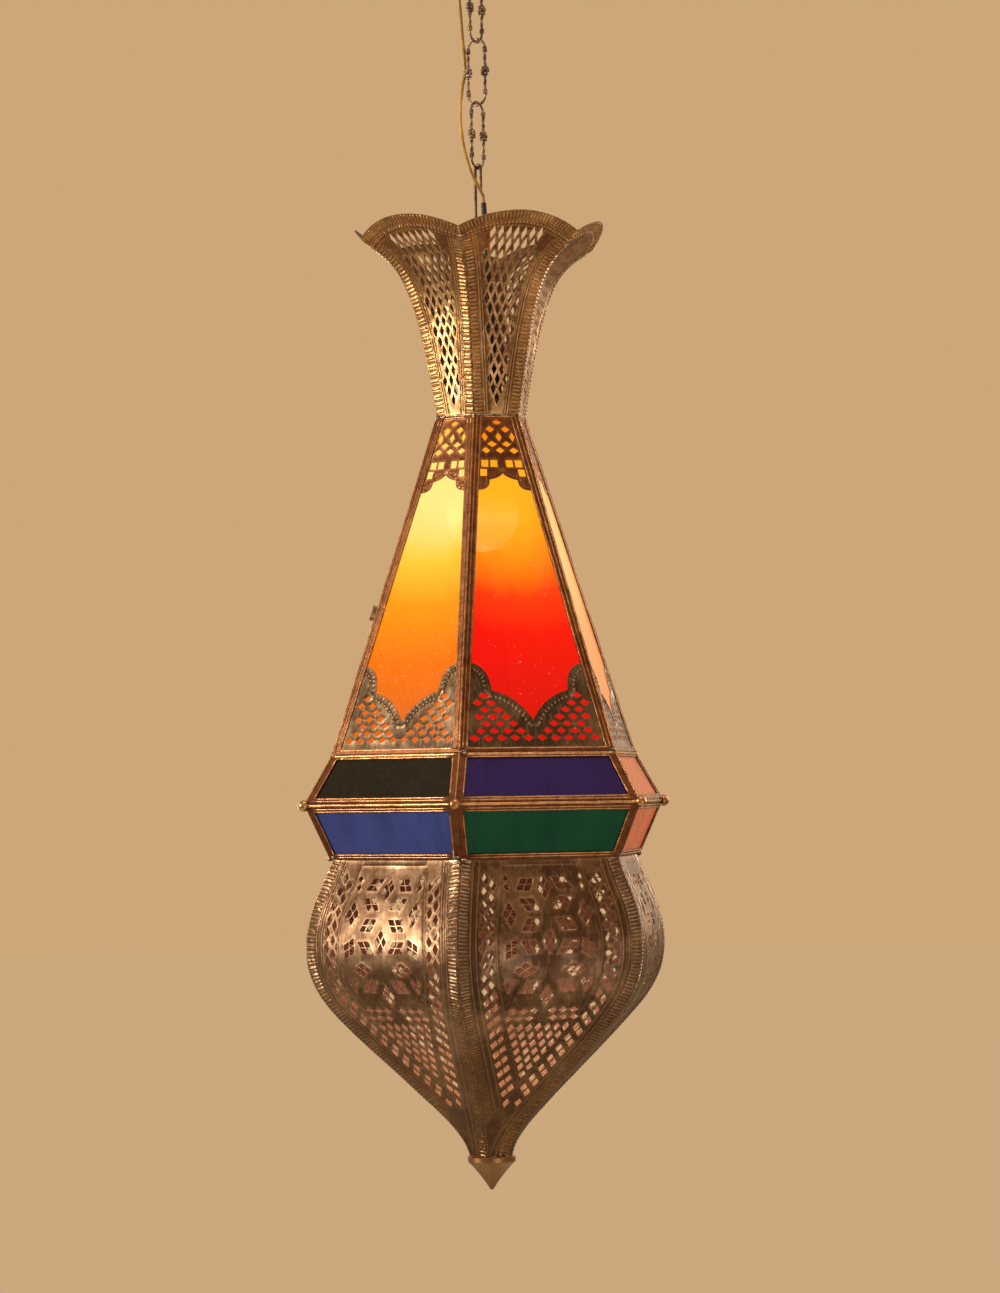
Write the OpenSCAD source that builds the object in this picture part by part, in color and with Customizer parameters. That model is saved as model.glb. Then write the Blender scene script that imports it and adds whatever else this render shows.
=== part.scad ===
// Hexagonal pierced-metal hanging lantern with coloured glass panes.
// Origin: centre of the ceiling face. +Z is up, and the lantern hangs below it.
// Faces of the hexagon look towards 0, 60, 120, 180, 240 and 300 degrees from +X; the door is the one at 180.

/* [Ceiling fitting] */
// Radius of the pressed cover at the ceiling
canopy_r = 42; // [30:1:70]
// Depth of the pressed cover
canopy_depth = 21; // [18:1:40]
// Wall of the pressed cover
canopy_wall = 1.2; // [0.8:0.1:2]
// Distance between the two ceiling screws
screw_spacing = 56; // [40:1:60]
// Diameter of each ceiling screw hole
screw_hole_d = 4.5; // [3:0.1:6]
// Width of the fixing bar inside the cover
bar_w = 14; // [12:1:18]
// Thickness of the fixing bar
bar_t = 2; // [1.5:0.1:3]
// Wire of the ceiling hook
ceiling_hook_d = 4; // [3:0.1:5]
// Radius of the ceiling hook, to the middle of its wire
ceiling_hook_r = 8; // [7.5:0.5:12]
// From the cover down to the middle of the wire that carries the chain
ceiling_hook_drop = 22.5; // [21:0.5:40]

/* [Chain] */
// Number of degrees that the chain is turned from the faces of the lantern
chain_turn = -26; // [-60:1:60]
// Length of one link, outside
link_len = 50.8; // [44:0.2:80]
// Width of one link, outside
link_w = 17; // [15:0.5:24]
// Wire of a link at its bends
link_wire_d = 2; // [1.6:0.1:3]
// Thin wire of the doubled stretch in each side of a link
twin_wire_d = 1.3; // [1:0.1:1.6]
// Wire of the binding coils of a link
binding_wire_d = 0.9; // [0.6:0.1:1.2]
// Turns in each binding coil
binding_turns = 4; // [2:1:6]
// Size of the granules in a cluster
granule_r = 1.7; // [1.2:0.1:2]

/* [Hanging hook] */
// Rod of the hook on top of the lantern
hook_rod_d = 2.4; // [2:0.1:3]
// Radius of its bend, to the middle of the rod
hook_bend_r = 2.4; // [2.3:0.1:4]
// Length of its short open leg
hook_short_leg = 17; // [8:1:30]
// From the middle of the bend down to the crest of the crown
hook_reach = 45; // [30:1:80]

/* [Crown] */
// Height of the crown at its corners
crown_h = 128; // [90:1:180]
// Corner radius of the crown at its rim
crown_r = 92.6; // [70:0.1:120]
// Corner radius at the neck
neck_r = 35.5; // [32:0.1:42]
// How far the rim of a petal rises over its corners
crest_rise = 10.6; // [4:0.1:16]
// Thickness of the pierced sheet
sheet_t = 0.9; // [0.6:0.1:1.4]

/* [Glazed cone] */
// Height of the cone
cone_h = 246; // [180:1:320]
// Corner radius of the cone at its base
cone_r = 118; // [95:0.5:150]
// Corner radius of the cone at its top
cone_top_r = 34; // [31:0.5:36]
// Thickness of the lead-like frame
came_t = 3.6; // [3:0.1:5]
// Width of the frame beside a corner
came_w = 4.2; // [3.6:0.1:9]
// Thickness of the glass
glass_t = 2; // [1.5:0.1:2.4]

/* [Belt] */
// Corner radius of the ridge of the belt
belt_r = 139.1; // [120:0.1:180]
// Height of the upper panes
belt_upper_h = 35.5; // [24:0.5:60]
// Height of the lower panes
belt_lower_h = 37.5; // [24:0.5:60]
// Corner radius where the belt meets the bulb
belt_foot_r = 121; // [100:0.5:150]
// Width of the frame round a belt pane
belt_came_w = 4.2; // [3.6:0.1:8]
// Radius of the knobs on the ridge
knob_r = 4.2; // [2:0.1:6]

/* [Onion] */
// Height of the pierced onion
onion_h = 219; // [160:1:300]
// Largest corner radius of the onion
onion_r = 140.7; // [120:0.1:180]
// Radius of the collar on the tip
finial_r = 17.5; // [12:0.5:24]
// Height of the tip below the onion
finial_h = 24; // [14:1:40]

/* [Door] */
// Gap round the door
door_gap = 0.4; // [0.3:0.05:0.8]
// Radius of the hinge barrels
barrel_r = 2; // [1.6:0.1:2.6]
// Diameter of the hinge pin
hinge_pin_d = 1.6; // [1.2:0.1:2]
// Length of one hinge barrel
barrel_len = 9; // [6:0.5:14]

/* [Lamp] */
// Radius of the lampholder
holder_r = 19; // [17:0.5:20]
// Length of the lampholder
holder_len = 50; // [40:1:60]
// Radius of the screw cap of the lamp
cap_r = 13.2; // [12:0.1:13.5]
// Radius of the lamp's globe
globe_r = 26; // [20:0.5:32]
// From the top of the lampholder to the middle of the globe
globe_drop = 84; // [75:1:100]

/* [Flex] */
// Diameter of the flex
flex_d = 2.6; // [2:0.1:4]
// Outer radius of the sleeve round its lower end
sleeve_r = 2; // [1.6:0.1:2.6]

/* [Hidden] */

$fn = 40;
sides = 6;
sector = 360 / sides;
half_sector = sector / 2;
flat_share = cos(half_sector);      // inner radius of a hexagon over its corner radius
cut = 1;                            // overrun of every cut
rest_gap = 0.2;                     // play between loose pieces that rest on each other
fit_gap = 0.1;                      // play of a piece in its groove
run_gap = 0.05;                     // radial play of a pin in its bore
seam = 0.1;                         // half of the gap between neighbouring sheets
reach = 2 * max(onion_r, belt_r, crown_r);  // larger than any radius, for the cutting sectors
hole_edge = 1;                      // metal left beside the last hole of a row

// Levels, from the ceiling down
z_canopy = -canopy_depth;
z_ceiling_hook = z_canopy - ceiling_hook_drop;
bend_r = (link_w - link_wire_d) / 2;
link_bend_span = link_len - link_wire_d;
link_seat = link_wire_d + rest_gap;
z_link_top = z_ceiling_hook + (ceiling_hook_d + link_wire_d) / 2 + rest_gap - link_bend_span / 2;
link_step = link_bend_span - link_seat;
z_link_middle = z_link_top - link_step;
z_link_bottom = z_link_middle - link_step;
z_hook = z_link_bottom - link_bend_span / 2 + (link_wire_d + hook_rod_d) / 2 + rest_gap - hook_bend_r;
z_crest = z_hook - hook_reach;
z_rim = z_crest - crest_rise;
z_neck = z_rim - crown_h;
z_cone = z_neck - cone_h - rest_gap;
z_ridge = z_cone - belt_upper_h;
z_foot = z_ridge - belt_lower_h;
z_onion = z_foot - onion_h;
z_tip = z_onion - finial_h;

// Curves: a smooth line through a short table of shares, split into steps
function smooth_at(p, i, t) =
    let (a = p[max(i - 1, 0)], b = p[i], c = p[i + 1], d = p[min(i + 2, len(p) - 1)])
    0.5 * (2 * b + (c - a) * t + (2 * a - 5 * b + 4 * c - d) * t * t + (3 * b - a - 3 * c + d) * t * t * t);
function smooth(p, steps) = concat(
    [for (i = [0 : len(p) - 2], k = [0 : steps - 1]) smooth_at(p, i, k / steps)], [p[len(p) - 1]]);
function bow(a, b, c, steps) =
    [for (k = [0 : steps]) let (t = k / steps) (1 - t) * (1 - t) * a + 2 * t * (1 - t) * b + t * t * c];
function unit(v) = v / norm(v);
function side_normal(p, i) =
    let (d = unit(p[min(i + 1, len(p) - 1)] - p[max(i - 1, 0)])) [d[1], -d[0]];
function inset_line(p, t) = [for (i = [0 : len(p) - 1]) p[i] - t * side_normal(p, i)];
function reversed(p) = [for (i = [len(p) - 1 : -1 : 0]) p[i]];
function lengths(p, i = 0, sum = 0) =
    i == len(p) - 1 ? [sum] : concat([sum], lengths(p, i + 1, sum + norm(p[i + 1] - p[i])));
function span_of(c, s, i = 0) = i >= len(c) - 2 || s < c[i + 1] ? i : span_of(c, s, i + 1);
function along(p, c, s) = let (i = span_of(c, s)) p[i] + (p[i + 1] - p[i]) * (s - c[i]) / (c[i + 1] - c[i]);

// Crown profile from the neck up: share of the height, share of the flare
crown_shares = [[0, 0], [0.2, 0.08], [0.43, 0.186], [0.6, 0.29], [0.72, 0.39], [0.81, 0.5],
                [0.88, 0.64], [0.94, 0.82], [1, 1], [1.09, 1.24]];
crown_line = [for (p = smooth(crown_shares, 2))
    [flat_share * (neck_r + (crown_r - neck_r) * p[1]), z_neck + crown_h * p[0]]];
// Onion profile from its tip up: share of the height, share of the widening from the tip's collar
onion_low_shares = [[0, 0], [0.05, 0.0387], [0.12, 0.1388], [0.24, 0.3606], [0.35, 0.5757], [0.45, 0.7634],
                    [0.52, 0.8771], [0.58, 0.9465], [0.64, 0.9863], [0.7, 1]];
// and above its widest place: share of the height, share of the widening from the belt's foot
onion_high_shares = [[0.77, 0.9456], [0.85, 0.7075], [0.93, 0.3197], [1, 0]];
onion_tip_r = finial_r - sheet_t / 2;
onion_top_r = belt_foot_r - 0.27 * came_t;
onion_shape = concat([for (p = onion_low_shares) [p[0], onion_tip_r + (onion_r - onion_tip_r) * p[1]]],
                     [for (p = onion_high_shares) [p[0], onion_top_r + (onion_r - onion_top_r) * p[1]]]);
onion_drop = 0.36 * came_t;         // keeps its top edge clear of the belt's leaning foot
onion_line = [for (p = smooth(onion_shape, 2)) [flat_share * p[1],
    z_onion + (onion_h - onion_drop) * p[0]]];

// One face of the hexagon: +X is outwards, +Y runs along the face, +Z is up
module face(k) rotate([0, 0, k * sector]) children();
module sector_cut(gap) translate([0, 0, z_tip - cut]) linear_extrude(-z_tip + 2 * cut)
    polygon([[2 * gap, 0], [reach, (reach - 2 * gap) * tan(half_sector)],
             [reach, -(reach - 2 * gap) * tan(half_sector)]]);
// Flat work on a sloping face: 2D x runs along the face, 2D y up the slope, thickness outwards
module on_slope(low, high)
    translate([low[0], 0, low[1]]) rotate([0, atan2(high[0] - low[0], high[1] - low[1]), 0])
        rotate([90, 0, 90]) children();
function slope_len(low, high) = norm(high - low);
// Upright work seen from outside: 2D x runs along the face, 2D y is the height, extruded outwards
module through_face() rotate([90, 0, 90]) children();
// A bent sheet whose outer line is given from low to high
module bent_sheet(line, gap) intersection() {
    rotate([90, 0, 0]) linear_extrude(reach, center = true)
        polygon(concat(line, reversed(inset_line(line, sheet_t))));
    sector_cut(gap);
}
function trapezoid(low_half, high_half, len) =
    [[-low_half, 0], [low_half, 0], [high_half, len], [-high_half, len]];
// A smaller trapezoid inside one whose sides lean: borders at the sides, the low end and the high end
function inner_trapezoid(low_half, high_half, len, side, low, high) =
    let (lean = (low_half - high_half) / len, grow = side * sqrt(1 + lean * lean))
    [for (p = [[-1, low], [1, low], [1, len - high], [-1, len - high]])
        [p[0] * (low_half - lean * p[1] - grow), p[1]]];
// A round bead along a corner of the hexagon, from one level to the next
module corner_bead(low, high, r) rotate([0, 0, half_sector]) {
    a = [low[0] / flat_share, low[1]];
    b = [high[0] / flat_share, high[1]];
    translate([a[0], 0, a[1]]) rotate([0, atan2(b[0] - a[0], b[1] - a[1]), 0])
        translate([0, 0, r]) cylinder(r = r, h = norm(b - a) - 2 * r);
}
module slab(points, from, to) translate([0, 0, from]) linear_extrude(to - from) polygon(points);

// Piercings: diamonds and rhombs given by the places of their corners
function diamond(c, w, h, turn = 0) = [for (a = [0 : 90 : 270])
    let (x = cos(a) * w / 2, y = sin(a) * h / 2) c + [x * cos(turn) - y * sin(turn),
        x * sin(turn) + y * cos(turn)]];

// Ceiling fitting
bar_len = 2 * (canopy_r - 3 * canopy_wall);
stud_r = ceiling_hook_d / 2;
bush_at = [-12, -7];
bush_r = 4.5;
bush_flange_t = 1.5;
module ceiling_bar() color("silver") translate([0, 0, -bar_t]) linear_extrude(bar_t) difference() {
    square([bar_len, bar_w], center = true);
    for (s = [-1, 1]) translate([s * screw_spacing / 2, 0]) circle(d = screw_hole_d);
    circle(stud_r + fit_gap);
}
module ceiling_canopy() color("peru") difference() {
    rotate_extrude($fn = 64) polygon(concat(
        [[0, z_canopy]],
        bow([canopy_r * 0.45, z_canopy], [canopy_r, z_canopy], [canopy_r, 0], 8),
        [[canopy_r - canopy_wall, 0]],
        bow([canopy_r - canopy_wall, 0], [canopy_r - canopy_wall, z_canopy + canopy_wall],
            [canopy_r * 0.45, z_canopy + canopy_wall], 8),
        [[0, z_canopy + canopy_wall]]));
    translate([0, 0, z_canopy - cut]) cylinder(r = stud_r + fit_gap, h = canopy_wall + 2 * cut);
    translate([bush_at[0], bush_at[1], z_canopy - cut]) cylinder(r = bush_r - canopy_wall,
        h = canopy_wall + 2 * cut);
}
hook_mouth_angle = 45;
module ceiling_hook() color("goldenrod") rotate([0, 0, chain_turn]) {
    translate([0, 0, z_ceiling_hook + ceiling_hook_r]) rotate([90, 0, 0])
        rotate([0, 0, 3 * hook_mouth_angle])
        rotate_extrude(angle = 360 - hook_mouth_angle) translate([ceiling_hook_r, 0])
            circle(d = ceiling_hook_d);
    translate([0, 0, z_ceiling_hook + 2 * ceiling_hook_r])
        cylinder(d = ceiling_hook_d, h = -z_ceiling_hook - 2 * ceiling_hook_r);
}
nut_across = 2.1 * ceiling_hook_d;
nut_t = 0.7 * ceiling_hook_d;
module hex_nut(across, thick, bore_r) difference() {
    cylinder(d = across / flat_share, h = thick, $fn = sides);
    translate([0, 0, -cut]) cylinder(r = bore_r, h = thick + 2 * cut);
}
module canopy_nut() color("goldenrod") translate([0, 0, z_canopy - nut_t])
    hex_nut(nut_across, nut_t, stud_r + fit_gap);
module canopy_bush() color("dimgray") translate([bush_at[0], bush_at[1], 0]) {
    translate([0, 0, z_canopy - bush_flange_t]) cylinder(r = bush_r, h = bush_flange_t);
    translate([0, 0, z_canopy]) cylinder(r = bush_r - canopy_wall - fit_gap, h = 3 * canopy_wall);
}

// Chain: an oval link of one wire at its bends, doubled wires between, coils and granule clusters
module arc_bend() rotate([90, 0, 0]) rotate_extrude(angle = 180) translate([bend_r, 0])
    circle(d = link_wire_d);
straight_half = link_bend_span / 2 - bend_r;
coil_core_r = 0.5 * link_wire_d + 0.3 * binding_wire_d;
coil_len = binding_turns * binding_wire_d;
twin_offset = 0.42 * twin_wire_d;
module binding_coil() rotate_extrude() polygon(concat([[0, 0]],
    [for (i = [0 : binding_turns - 1], t = [[0.02, 0], [0.3, 0.5], [0.7, 0.5], [0.98, 0]])
        [coil_core_r + t[1] * binding_wire_d, (i + t[0]) * binding_wire_d]],
    [[0, coil_len]]));
// Rows of a cluster: height, distance from the wire and size in granules, count, and the first that is set
cluster_shares = [[-1.9, 0.1, 0.8, 1, 0], [-0.95, 0.85, 0.8, 3, 0], [0.1, 1.05, 0.85, 4, 1],
    [1.05, 0.8, 0.8, 3, 0],
                  [1.95, 0.1, 0.8, 1, 0]];
module cluster() {
    for (row = cluster_shares, i = [row[4] : row[3] - 1]) rotate([0, 0, i * 360 / row[3] + 20 * row[0]])
        translate([row[1] * granule_r, 0, row[0] * granule_r]) sphere(row[2] * granule_r, $fn = 24);
    translate([1.5 * granule_r, 0, 0]) sphere(granule_r, $fn = 24);
}
coil_grip = 0.3 * link_wire_d;
module link_side() translate([bend_r, 0, 0]) {
    for (s = [-1, 1]) translate([0, s * twin_offset, coil_len / 2 - straight_half])
        cylinder(d = twin_wire_d, h = 2 * straight_half - coil_len);
    for (s = [0, 1]) mirror([0, 0, s])
        translate([0, 0, straight_half - coil_len + coil_grip]) binding_coil();
    cluster();
}
module chain_link(z, quarter) color("saddlebrown") translate([0, 0, z])
    rotate([0, 0, chain_turn + 90 * quarter])
    for (s = [0, 1]) {
        mirror([0, 0, s]) translate([0, 0, straight_half]) arc_bend();
        mirror([s, 0, 0]) link_side();
    }

// Hanging hook, its bar across the crown and its nuts
bar_level_share = 0.3;
hook_bar_t = 2;
hook_bar_w = 12;
z_hook_bar = z_neck + bar_level_share * crown_h;
function crown_inside(z) = let (p = inset_line(crown_line, sheet_t), i = level_of(p, z))
    p[i][0] + (p[i + 1][0] - p[i][0]) * (z - p[i][1]) / (p[i + 1][1] - p[i][1]);
function level_of(p, z, i = 0) = i >= len(p) - 2 || z < p[i + 1][1] ? i : level_of(p, z, i + 1);
hook_nut_across = 2.2 * hook_rod_d;
hook_nut_t = 0.9 * hook_rod_d;
rod_end = z_hook_bar - hook_bar_t - 2 * hook_nut_t;
module at_rod() rotate([0, 0, chain_turn]) translate([-hook_bend_r, 0, 0]) children();
module hanging_hook() color("saddlebrown") rotate([0, 0, chain_turn]) {
    translate([0, 0, z_hook]) rotate([90, 0, 0]) rotate_extrude(angle = 180) translate([hook_bend_r, 0])
        circle(d = hook_rod_d);
    translate([-hook_bend_r, 0, rod_end]) cylinder(d = hook_rod_d, h = z_hook - rod_end);
    translate([hook_bend_r, 0, z_hook - hook_short_leg]) cylinder(d = hook_rod_d, h = hook_short_leg);
}
module hook_nuts() color("goldenrod") at_rod() {
    translate([0, 0, z_hook_bar]) hex_nut(hook_nut_across, hook_nut_t, hook_rod_d / 2 + run_gap);
    translate([0, 0, z_hook_bar - hook_bar_t - hook_nut_t]) hex_nut(hook_nut_across, hook_nut_t,
        hook_rod_d / 2 + run_gap);
}
// Where the sleeve passes the bar, its foot on the strap and its mouth over the crown
collar_h = 0.09 * crown_h;
strap_t = 2;
z_strap = z_neck + collar_h;
mouth_over_crest = 19;
sleeve_foot = [12, 0, z_strap + strap_t + rest_gap];
sleeve_mouth = [4.4, -3.4, z_crest + mouth_over_crest];
sleeve_axis = sleeve_mouth - sleeve_foot;
sleeve_tilt = acos(sleeve_axis[2] / norm(sleeve_axis));
sleeve_turn = atan2(sleeve_axis[1], sleeve_axis[0]);
module sleeve_rod(r, grow = 0) translate(sleeve_foot) rotate([0, sleeve_tilt, sleeve_turn])
    translate([0, 0, -grow]) cylinder(r = r, h = norm(sleeve_axis) + 2 * grow);
function sleeve_at(z) = let (t = (z - sleeve_foot[2]) / sleeve_axis[2])
    [for (i = [0, 1]) sleeve_foot[i] + t * sleeve_axis[i]];
module hook_bar() color("peru") difference() {
    translate([0, 0, z_hook_bar - hook_bar_t]) linear_extrude(hook_bar_t)
        square([2 * (crown_inside(z_hook_bar - hook_bar_t) - rest_gap), hook_bar_w], center = true);
    at_rod() translate([0, 0, z_hook_bar - hook_bar_t - cut])
        cylinder(d = hook_rod_d + 2 * fit_gap, h = hook_bar_t + 2 * cut);
    translate([0, 0, z_hook_bar - hook_bar_t - cut]) linear_extrude(hook_bar_t + 2 * cut)
        translate(sleeve_at(z_hook_bar - hook_bar_t / 2)) circle(sleeve_r + 2 * rest_gap);
}
module flex_sleeve() color("black") sleeve_rod(sleeve_r);

// Neck: hexagonal collar inside the crown's foot, strap across it, lampholder under the strap
collar_t = 1.5;
collar_out = crown_line[0][0] - sheet_t - rest_gap;
strap_w = 14;
nipple_r = 5;
module hexagon(flat) circle(flat / flat_share, $fn = sides);
collar_lift = 0.4 * came_t;
module neck_collar() color("peru") translate([0, 0, z_neck + collar_lift])
    linear_extrude(collar_h - collar_lift)
    rotate([0, 0, half_sector]) difference() {
    hexagon(collar_out);
    hexagon(collar_out - collar_t);
}
module lamp_strap() color("silver") translate([0, 0, z_strap]) linear_extrude(strap_t) difference() {
    square([2 * (collar_out - fit_gap), strap_w], center = true);
    circle(nipple_r + fit_gap);
}
holder_wall = 2.2;
holder_top_t = 6;
socket_play = 0.3;
socket_r = cap_r + socket_play;
module lampholder() color("ivory") {
    difference() {
        rotate_extrude() polygon([
            [0, z_strap], [0.75 * holder_r, z_strap], [0.9 * holder_r, z_strap - holder_top_t],
            [0.9 * holder_r, z_strap - 0.55 * holder_len], [holder_r, z_strap - 0.6 * holder_len],
            [holder_r, z_strap - holder_len], [socket_r, z_strap - holder_len],
            [socket_r, z_strap - 1.5 * holder_top_t], [0, z_strap - 1.5 * holder_top_t]]);
        translate([0, 0, z_strap - 2 * holder_top_t]) cylinder(r = nipple_r / 2, h = 3 * holder_top_t);
    }
    difference() {
        translate([0, 0, z_strap - holder_top_t]) cylinder(r = nipple_r,
            h = holder_top_t + strap_t + 2 * nut_t);
        translate([0, 0, z_strap - 2 * holder_top_t]) cylinder(r = nipple_r / 2, h = 4 * holder_top_t);
    }
}
holder_nut_across = 3 * nipple_r;
module lampholder_nut() color("goldenrod") translate([0, 0, z_strap + strap_t])
    hex_nut(holder_nut_across, nut_t, nipple_r + run_gap);

// Lamp: screw cap and thin glass, which come out downwards
z_globe = z_strap - globe_drop;
cap_h = 26;
z_cap = z_strap - 2.2 * holder_top_t;
thread_pitch = 3.6;
thread_depth = 0.6;
thread_turns = 6;
module bulb_cap() color("silver") rotate_extrude() polygon(concat(
    [[0, z_cap], [0.35 * cap_r, z_cap], [0.6 * cap_r, z_cap - thread_pitch / 2],
        [cap_r - thread_depth, z_cap - thread_pitch]],
    [for (i = [2 : 2 * thread_turns]) [cap_r - (i % 2) * thread_depth, z_cap - i * thread_pitch / 2]],
    [[cap_r, z_cap - cap_h], [0, z_cap - cap_h]]));
bulb_wall = 1;
globe_open = 35;                    // angle above its middle where the globe meets its neck
module bulb_glass() color("lightyellow") {
    outer = concat([[0.9 * cap_r, z_cap - cap_h]],
        bow([0.9 * cap_r, z_cap - cap_h], [0.95 * cap_r, z_globe + globe_r],
            [globe_r * cos(globe_open), z_globe + globe_r * sin(globe_open)], 6),
        [for (a = [globe_open - 10 : -10 : -85]) [globe_r * cos(a), z_globe + globe_r * sin(a)]]);
    rotate_extrude($fn = 48) polygon(concat(outer, [[0, z_globe - globe_r],
        [0, z_globe - globe_r + bulb_wall]],
        [for (a = [-85 : 10 : globe_open]) [(globe_r - bulb_wall) * cos(a),
            z_globe + (globe_r - bulb_wall) * sin(a)]],
        [[0.9 * cap_r - bulb_wall, z_globe + globe_r], [0.9 * cap_r - bulb_wall, z_cap - cap_h]]));
}

// Crown petals: flared sheet, scalloped rim, half-offset diamonds
crest_flat = crown_line[len(crown_line) - 1][0];
corner_flat = flat_share * crown_r;
scallop_half = crown_r / 2;
scallop_sag = crest_flat - corner_flat;
scallop_r = (scallop_half * scallop_half + scallop_sag * scallop_sag) / (2 * scallop_sag);
crown_pitch = 6;
crown_row = 7.1;
crown_hole = [4.2, 9.2];
crown_band = 12;
crown_field_max = 21;
crown_rows = 17;
crown_first_row = 11;
function crown_half(z) = crown_inside(z) * tan(half_sector);
module crown_piercings() for (r = [0 : crown_rows - 1]) {
    z = z_neck + crown_first_row + r * crown_row;
    room = min(crown_half(z) - crown_band, crown_field_max);
    shift = (r % 2) / 2;
    for (c = [-5 : 5]) if (abs(c + shift) * crown_pitch + crown_hole[0] / 2 < room + hole_edge)
        polygon(diamond([(c + shift) * crown_pitch, z], crown_hole[0], crown_hole[1]));
}
module crown_petal(k) color("darkgoldenrod") face(k) difference() {
    intersection() {
        bent_sheet(crown_line, seam);
        translate([crest_flat - scallop_r, 0, z_neck - cut])
            cylinder(r = scallop_r, h = 2 * crown_h, $fn = 96);
    }
    through_face() linear_extrude(reach) crown_piercings();
}

// Glazed cone: five fixed faces and the face that holds the door
cone_low = [flat_share * cone_r - came_t, z_cone];
cone_high = [flat_share * cone_top_r - came_t, z_neck - rest_gap];
cone_len = slope_len(cone_low, cone_high);
cone_low_half = cone_low[0] * tan(half_sector);
cone_high_half = cone_high[0] * tan(half_sector);
hinge_lean = atan2(cone_low_half - cone_high_half, cone_len);  // lean of the cone's corner within its face
cone_rail = 3.4;
glass_in = 2;
glass_from = (came_t - glass_t) / 2 - 2 * fit_gap;
tracery_t = 0.7;
function cone_border(b, low, high) = inner_trapezoid(cone_low_half, cone_high_half, cone_len, b, low, high);
module blank_face() linear_extrude(came_t)
    polygon([[-reach, 0], [reach, 0], [reach, cone_len], [-reach, cone_len]]);
module cone_face_frame(side, low, high) difference() {
    intersection() {
        on_slope(cone_low, cone_high) blank_face();
        sector_cut(-fit_gap);
    }
    on_slope(cone_low, cone_high) {
        slab(cone_border(side, low, high), -cut, came_t + cut);
        slab(cone_border(side - glass_in, low - glass_in, high - glass_in), glass_from - fit_gap,
            glass_from + glass_t + fit_gap);
    }
}
jamb = 3;
sill = 2.5;
module door_way() on_slope(cone_low, cone_high) slab(cone_border(jamb, sill, sill), -cut, came_t + cut);
bead_r = 0.55 * came_t;
function bead_line(p) = [p[0] + 0.6 * came_t, p[1]];
module cone_frame() color("peru") {
    for (k = [0 : sides - 1]) face(k) corner_bead(bead_line(cone_low), bead_line(cone_high), bead_r);
    for (k = [0, 1, 2, 4, 5]) face(k) cone_face_frame(came_w, cone_rail, cone_rail);
    face(3) {
        difference() {
            intersection() {
                on_slope(cone_low, cone_high) blank_face();
                sector_cut(-fit_gap);
            }
            door_way();
        }
        fixed_barrels();
    }
}
module cone_pane(k, tint) color(tint) face(k) on_slope(cone_low, cone_high)
    slab(cone_border(came_w - glass_in + fit_gap, cone_rail - glass_in + fit_gap,
        cone_rail - glass_in + fit_gap),
         glass_from, glass_from + glass_t);

// Tracery over the foot and head of a pane, with bracket-shaped edges
foot_tip = 23;
foot_cusp = [29, 45.5];
foot_top = 66;
head_tip = 46.4;
head_cusp = [10.9, 51.6];
head_end = 59.5;
bow_steps = 5;
function inside_half(y, border) = cone_border(border, 0, 0)[1][0]
    + (cone_border(border, 0, 0)[2][0] - cone_border(border, 0, 0)[1][0]) * y / cone_len;
function both_sides(p) = concat(p, [for (q = reversed(p)) [-q[0], q[1]]]);
function foot_edge(border) = let (end = [inside_half(foot_top, border), foot_top]) concat(
    bow([0, foot_tip], [foot_cusp[0] / 3, 0.9 * foot_cusp[1]], foot_cusp, bow_steps),
    bow(foot_cusp, [foot_cusp[0], 0.95 * foot_top], end, bow_steps));
function head_edge(border) = let (top = cone_len, end = [inside_half(top - head_end, border),
    top - head_end]) concat(
    bow([0, top - head_tip], [head_cusp[0] / 4, top - 0.97 * head_cusp[1]],
        [head_cusp[0], top - head_cusp[1]], bow_steps),
    bow([head_cusp[0], top - head_cusp[1]], [head_cusp[0], top - head_end], end, bow_steps));
foot_pitch = 10.2;
foot_first = 10.2;
foot_row = 5.2;
foot_hole = [8.2, 5];
foot_rows = 8;
foot_band = 12;
function foot_limit(x) = abs(x) < foot_cusp[0]
    ? foot_tip + (foot_cusp[1] - foot_tip) * sqrt(abs(x) / foot_cusp[0])
    : foot_cusp[1] + (foot_top - foot_cusp[1]) * min(1, (abs(x) - foot_cusp[0]) / (foot_cusp[0] / 4));
// Rows of the head pattern, in squares: depth, places along the row, width, height, diamond or not
head_square = 5;
head_shares = [[1.44, [0], 1.5, 0.8, 1], [2.48, [1.2], 1.44, 1, 1], [3.64, [0, 2.1], 0.96, 1.5, 1],
               [4.78, [1.14], 1.5, 1, 1], [5.76, [0, 2.16], 1.4, 1, 1], [7.8, [1.2, 2.6], 1.1, 1.1, 0],
               [9.22, [2.96], 1.05, 1.1, 0]];
module foot_piercings(border) for (r = [1 : foot_rows], c = [-6 : 6]) {
    x = (c + (r % 2) / 2) * foot_pitch;
    y = foot_first + (r - 1) * foot_row;
    if (y + foot_band < foot_limit(x) && abs(x) + foot_hole[0] / 2 < inside_half(y, border) - hole_edge / 2)
        polygon(diamond([x, y], foot_hole[0], foot_hole[1]));
}
function leaning_square(c, w, h, lean) = [for (q = [[-1, -1], [1, -1], [1, 1], [-1, 1]])
    c + [q[0] * w / 2 - q[1] * lean * h / 2, q[1] * h / 2]];
module head_piercings(border, high) for (row = head_shares, x = row[1], s = [-1, 1]) if (x > 0 || s > 0) {
    y = cone_len - row[0] * head_square;
    fit = inside_half(y, border) / inside_half(y, came_w);
    c = [s * x * head_square * fit, y];
    size = [row[2] * fit, row[3]] * head_square;
    if (y + size[1] / 2 < cone_len - high - hole_edge / 2) polygon(row[4] > 0 ? diamond(c, size[0], size[1])
        : leaning_square(c, size[0], size[1], tan(hinge_lean) * c[0] / inside_half(y, 0)));
}
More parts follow.
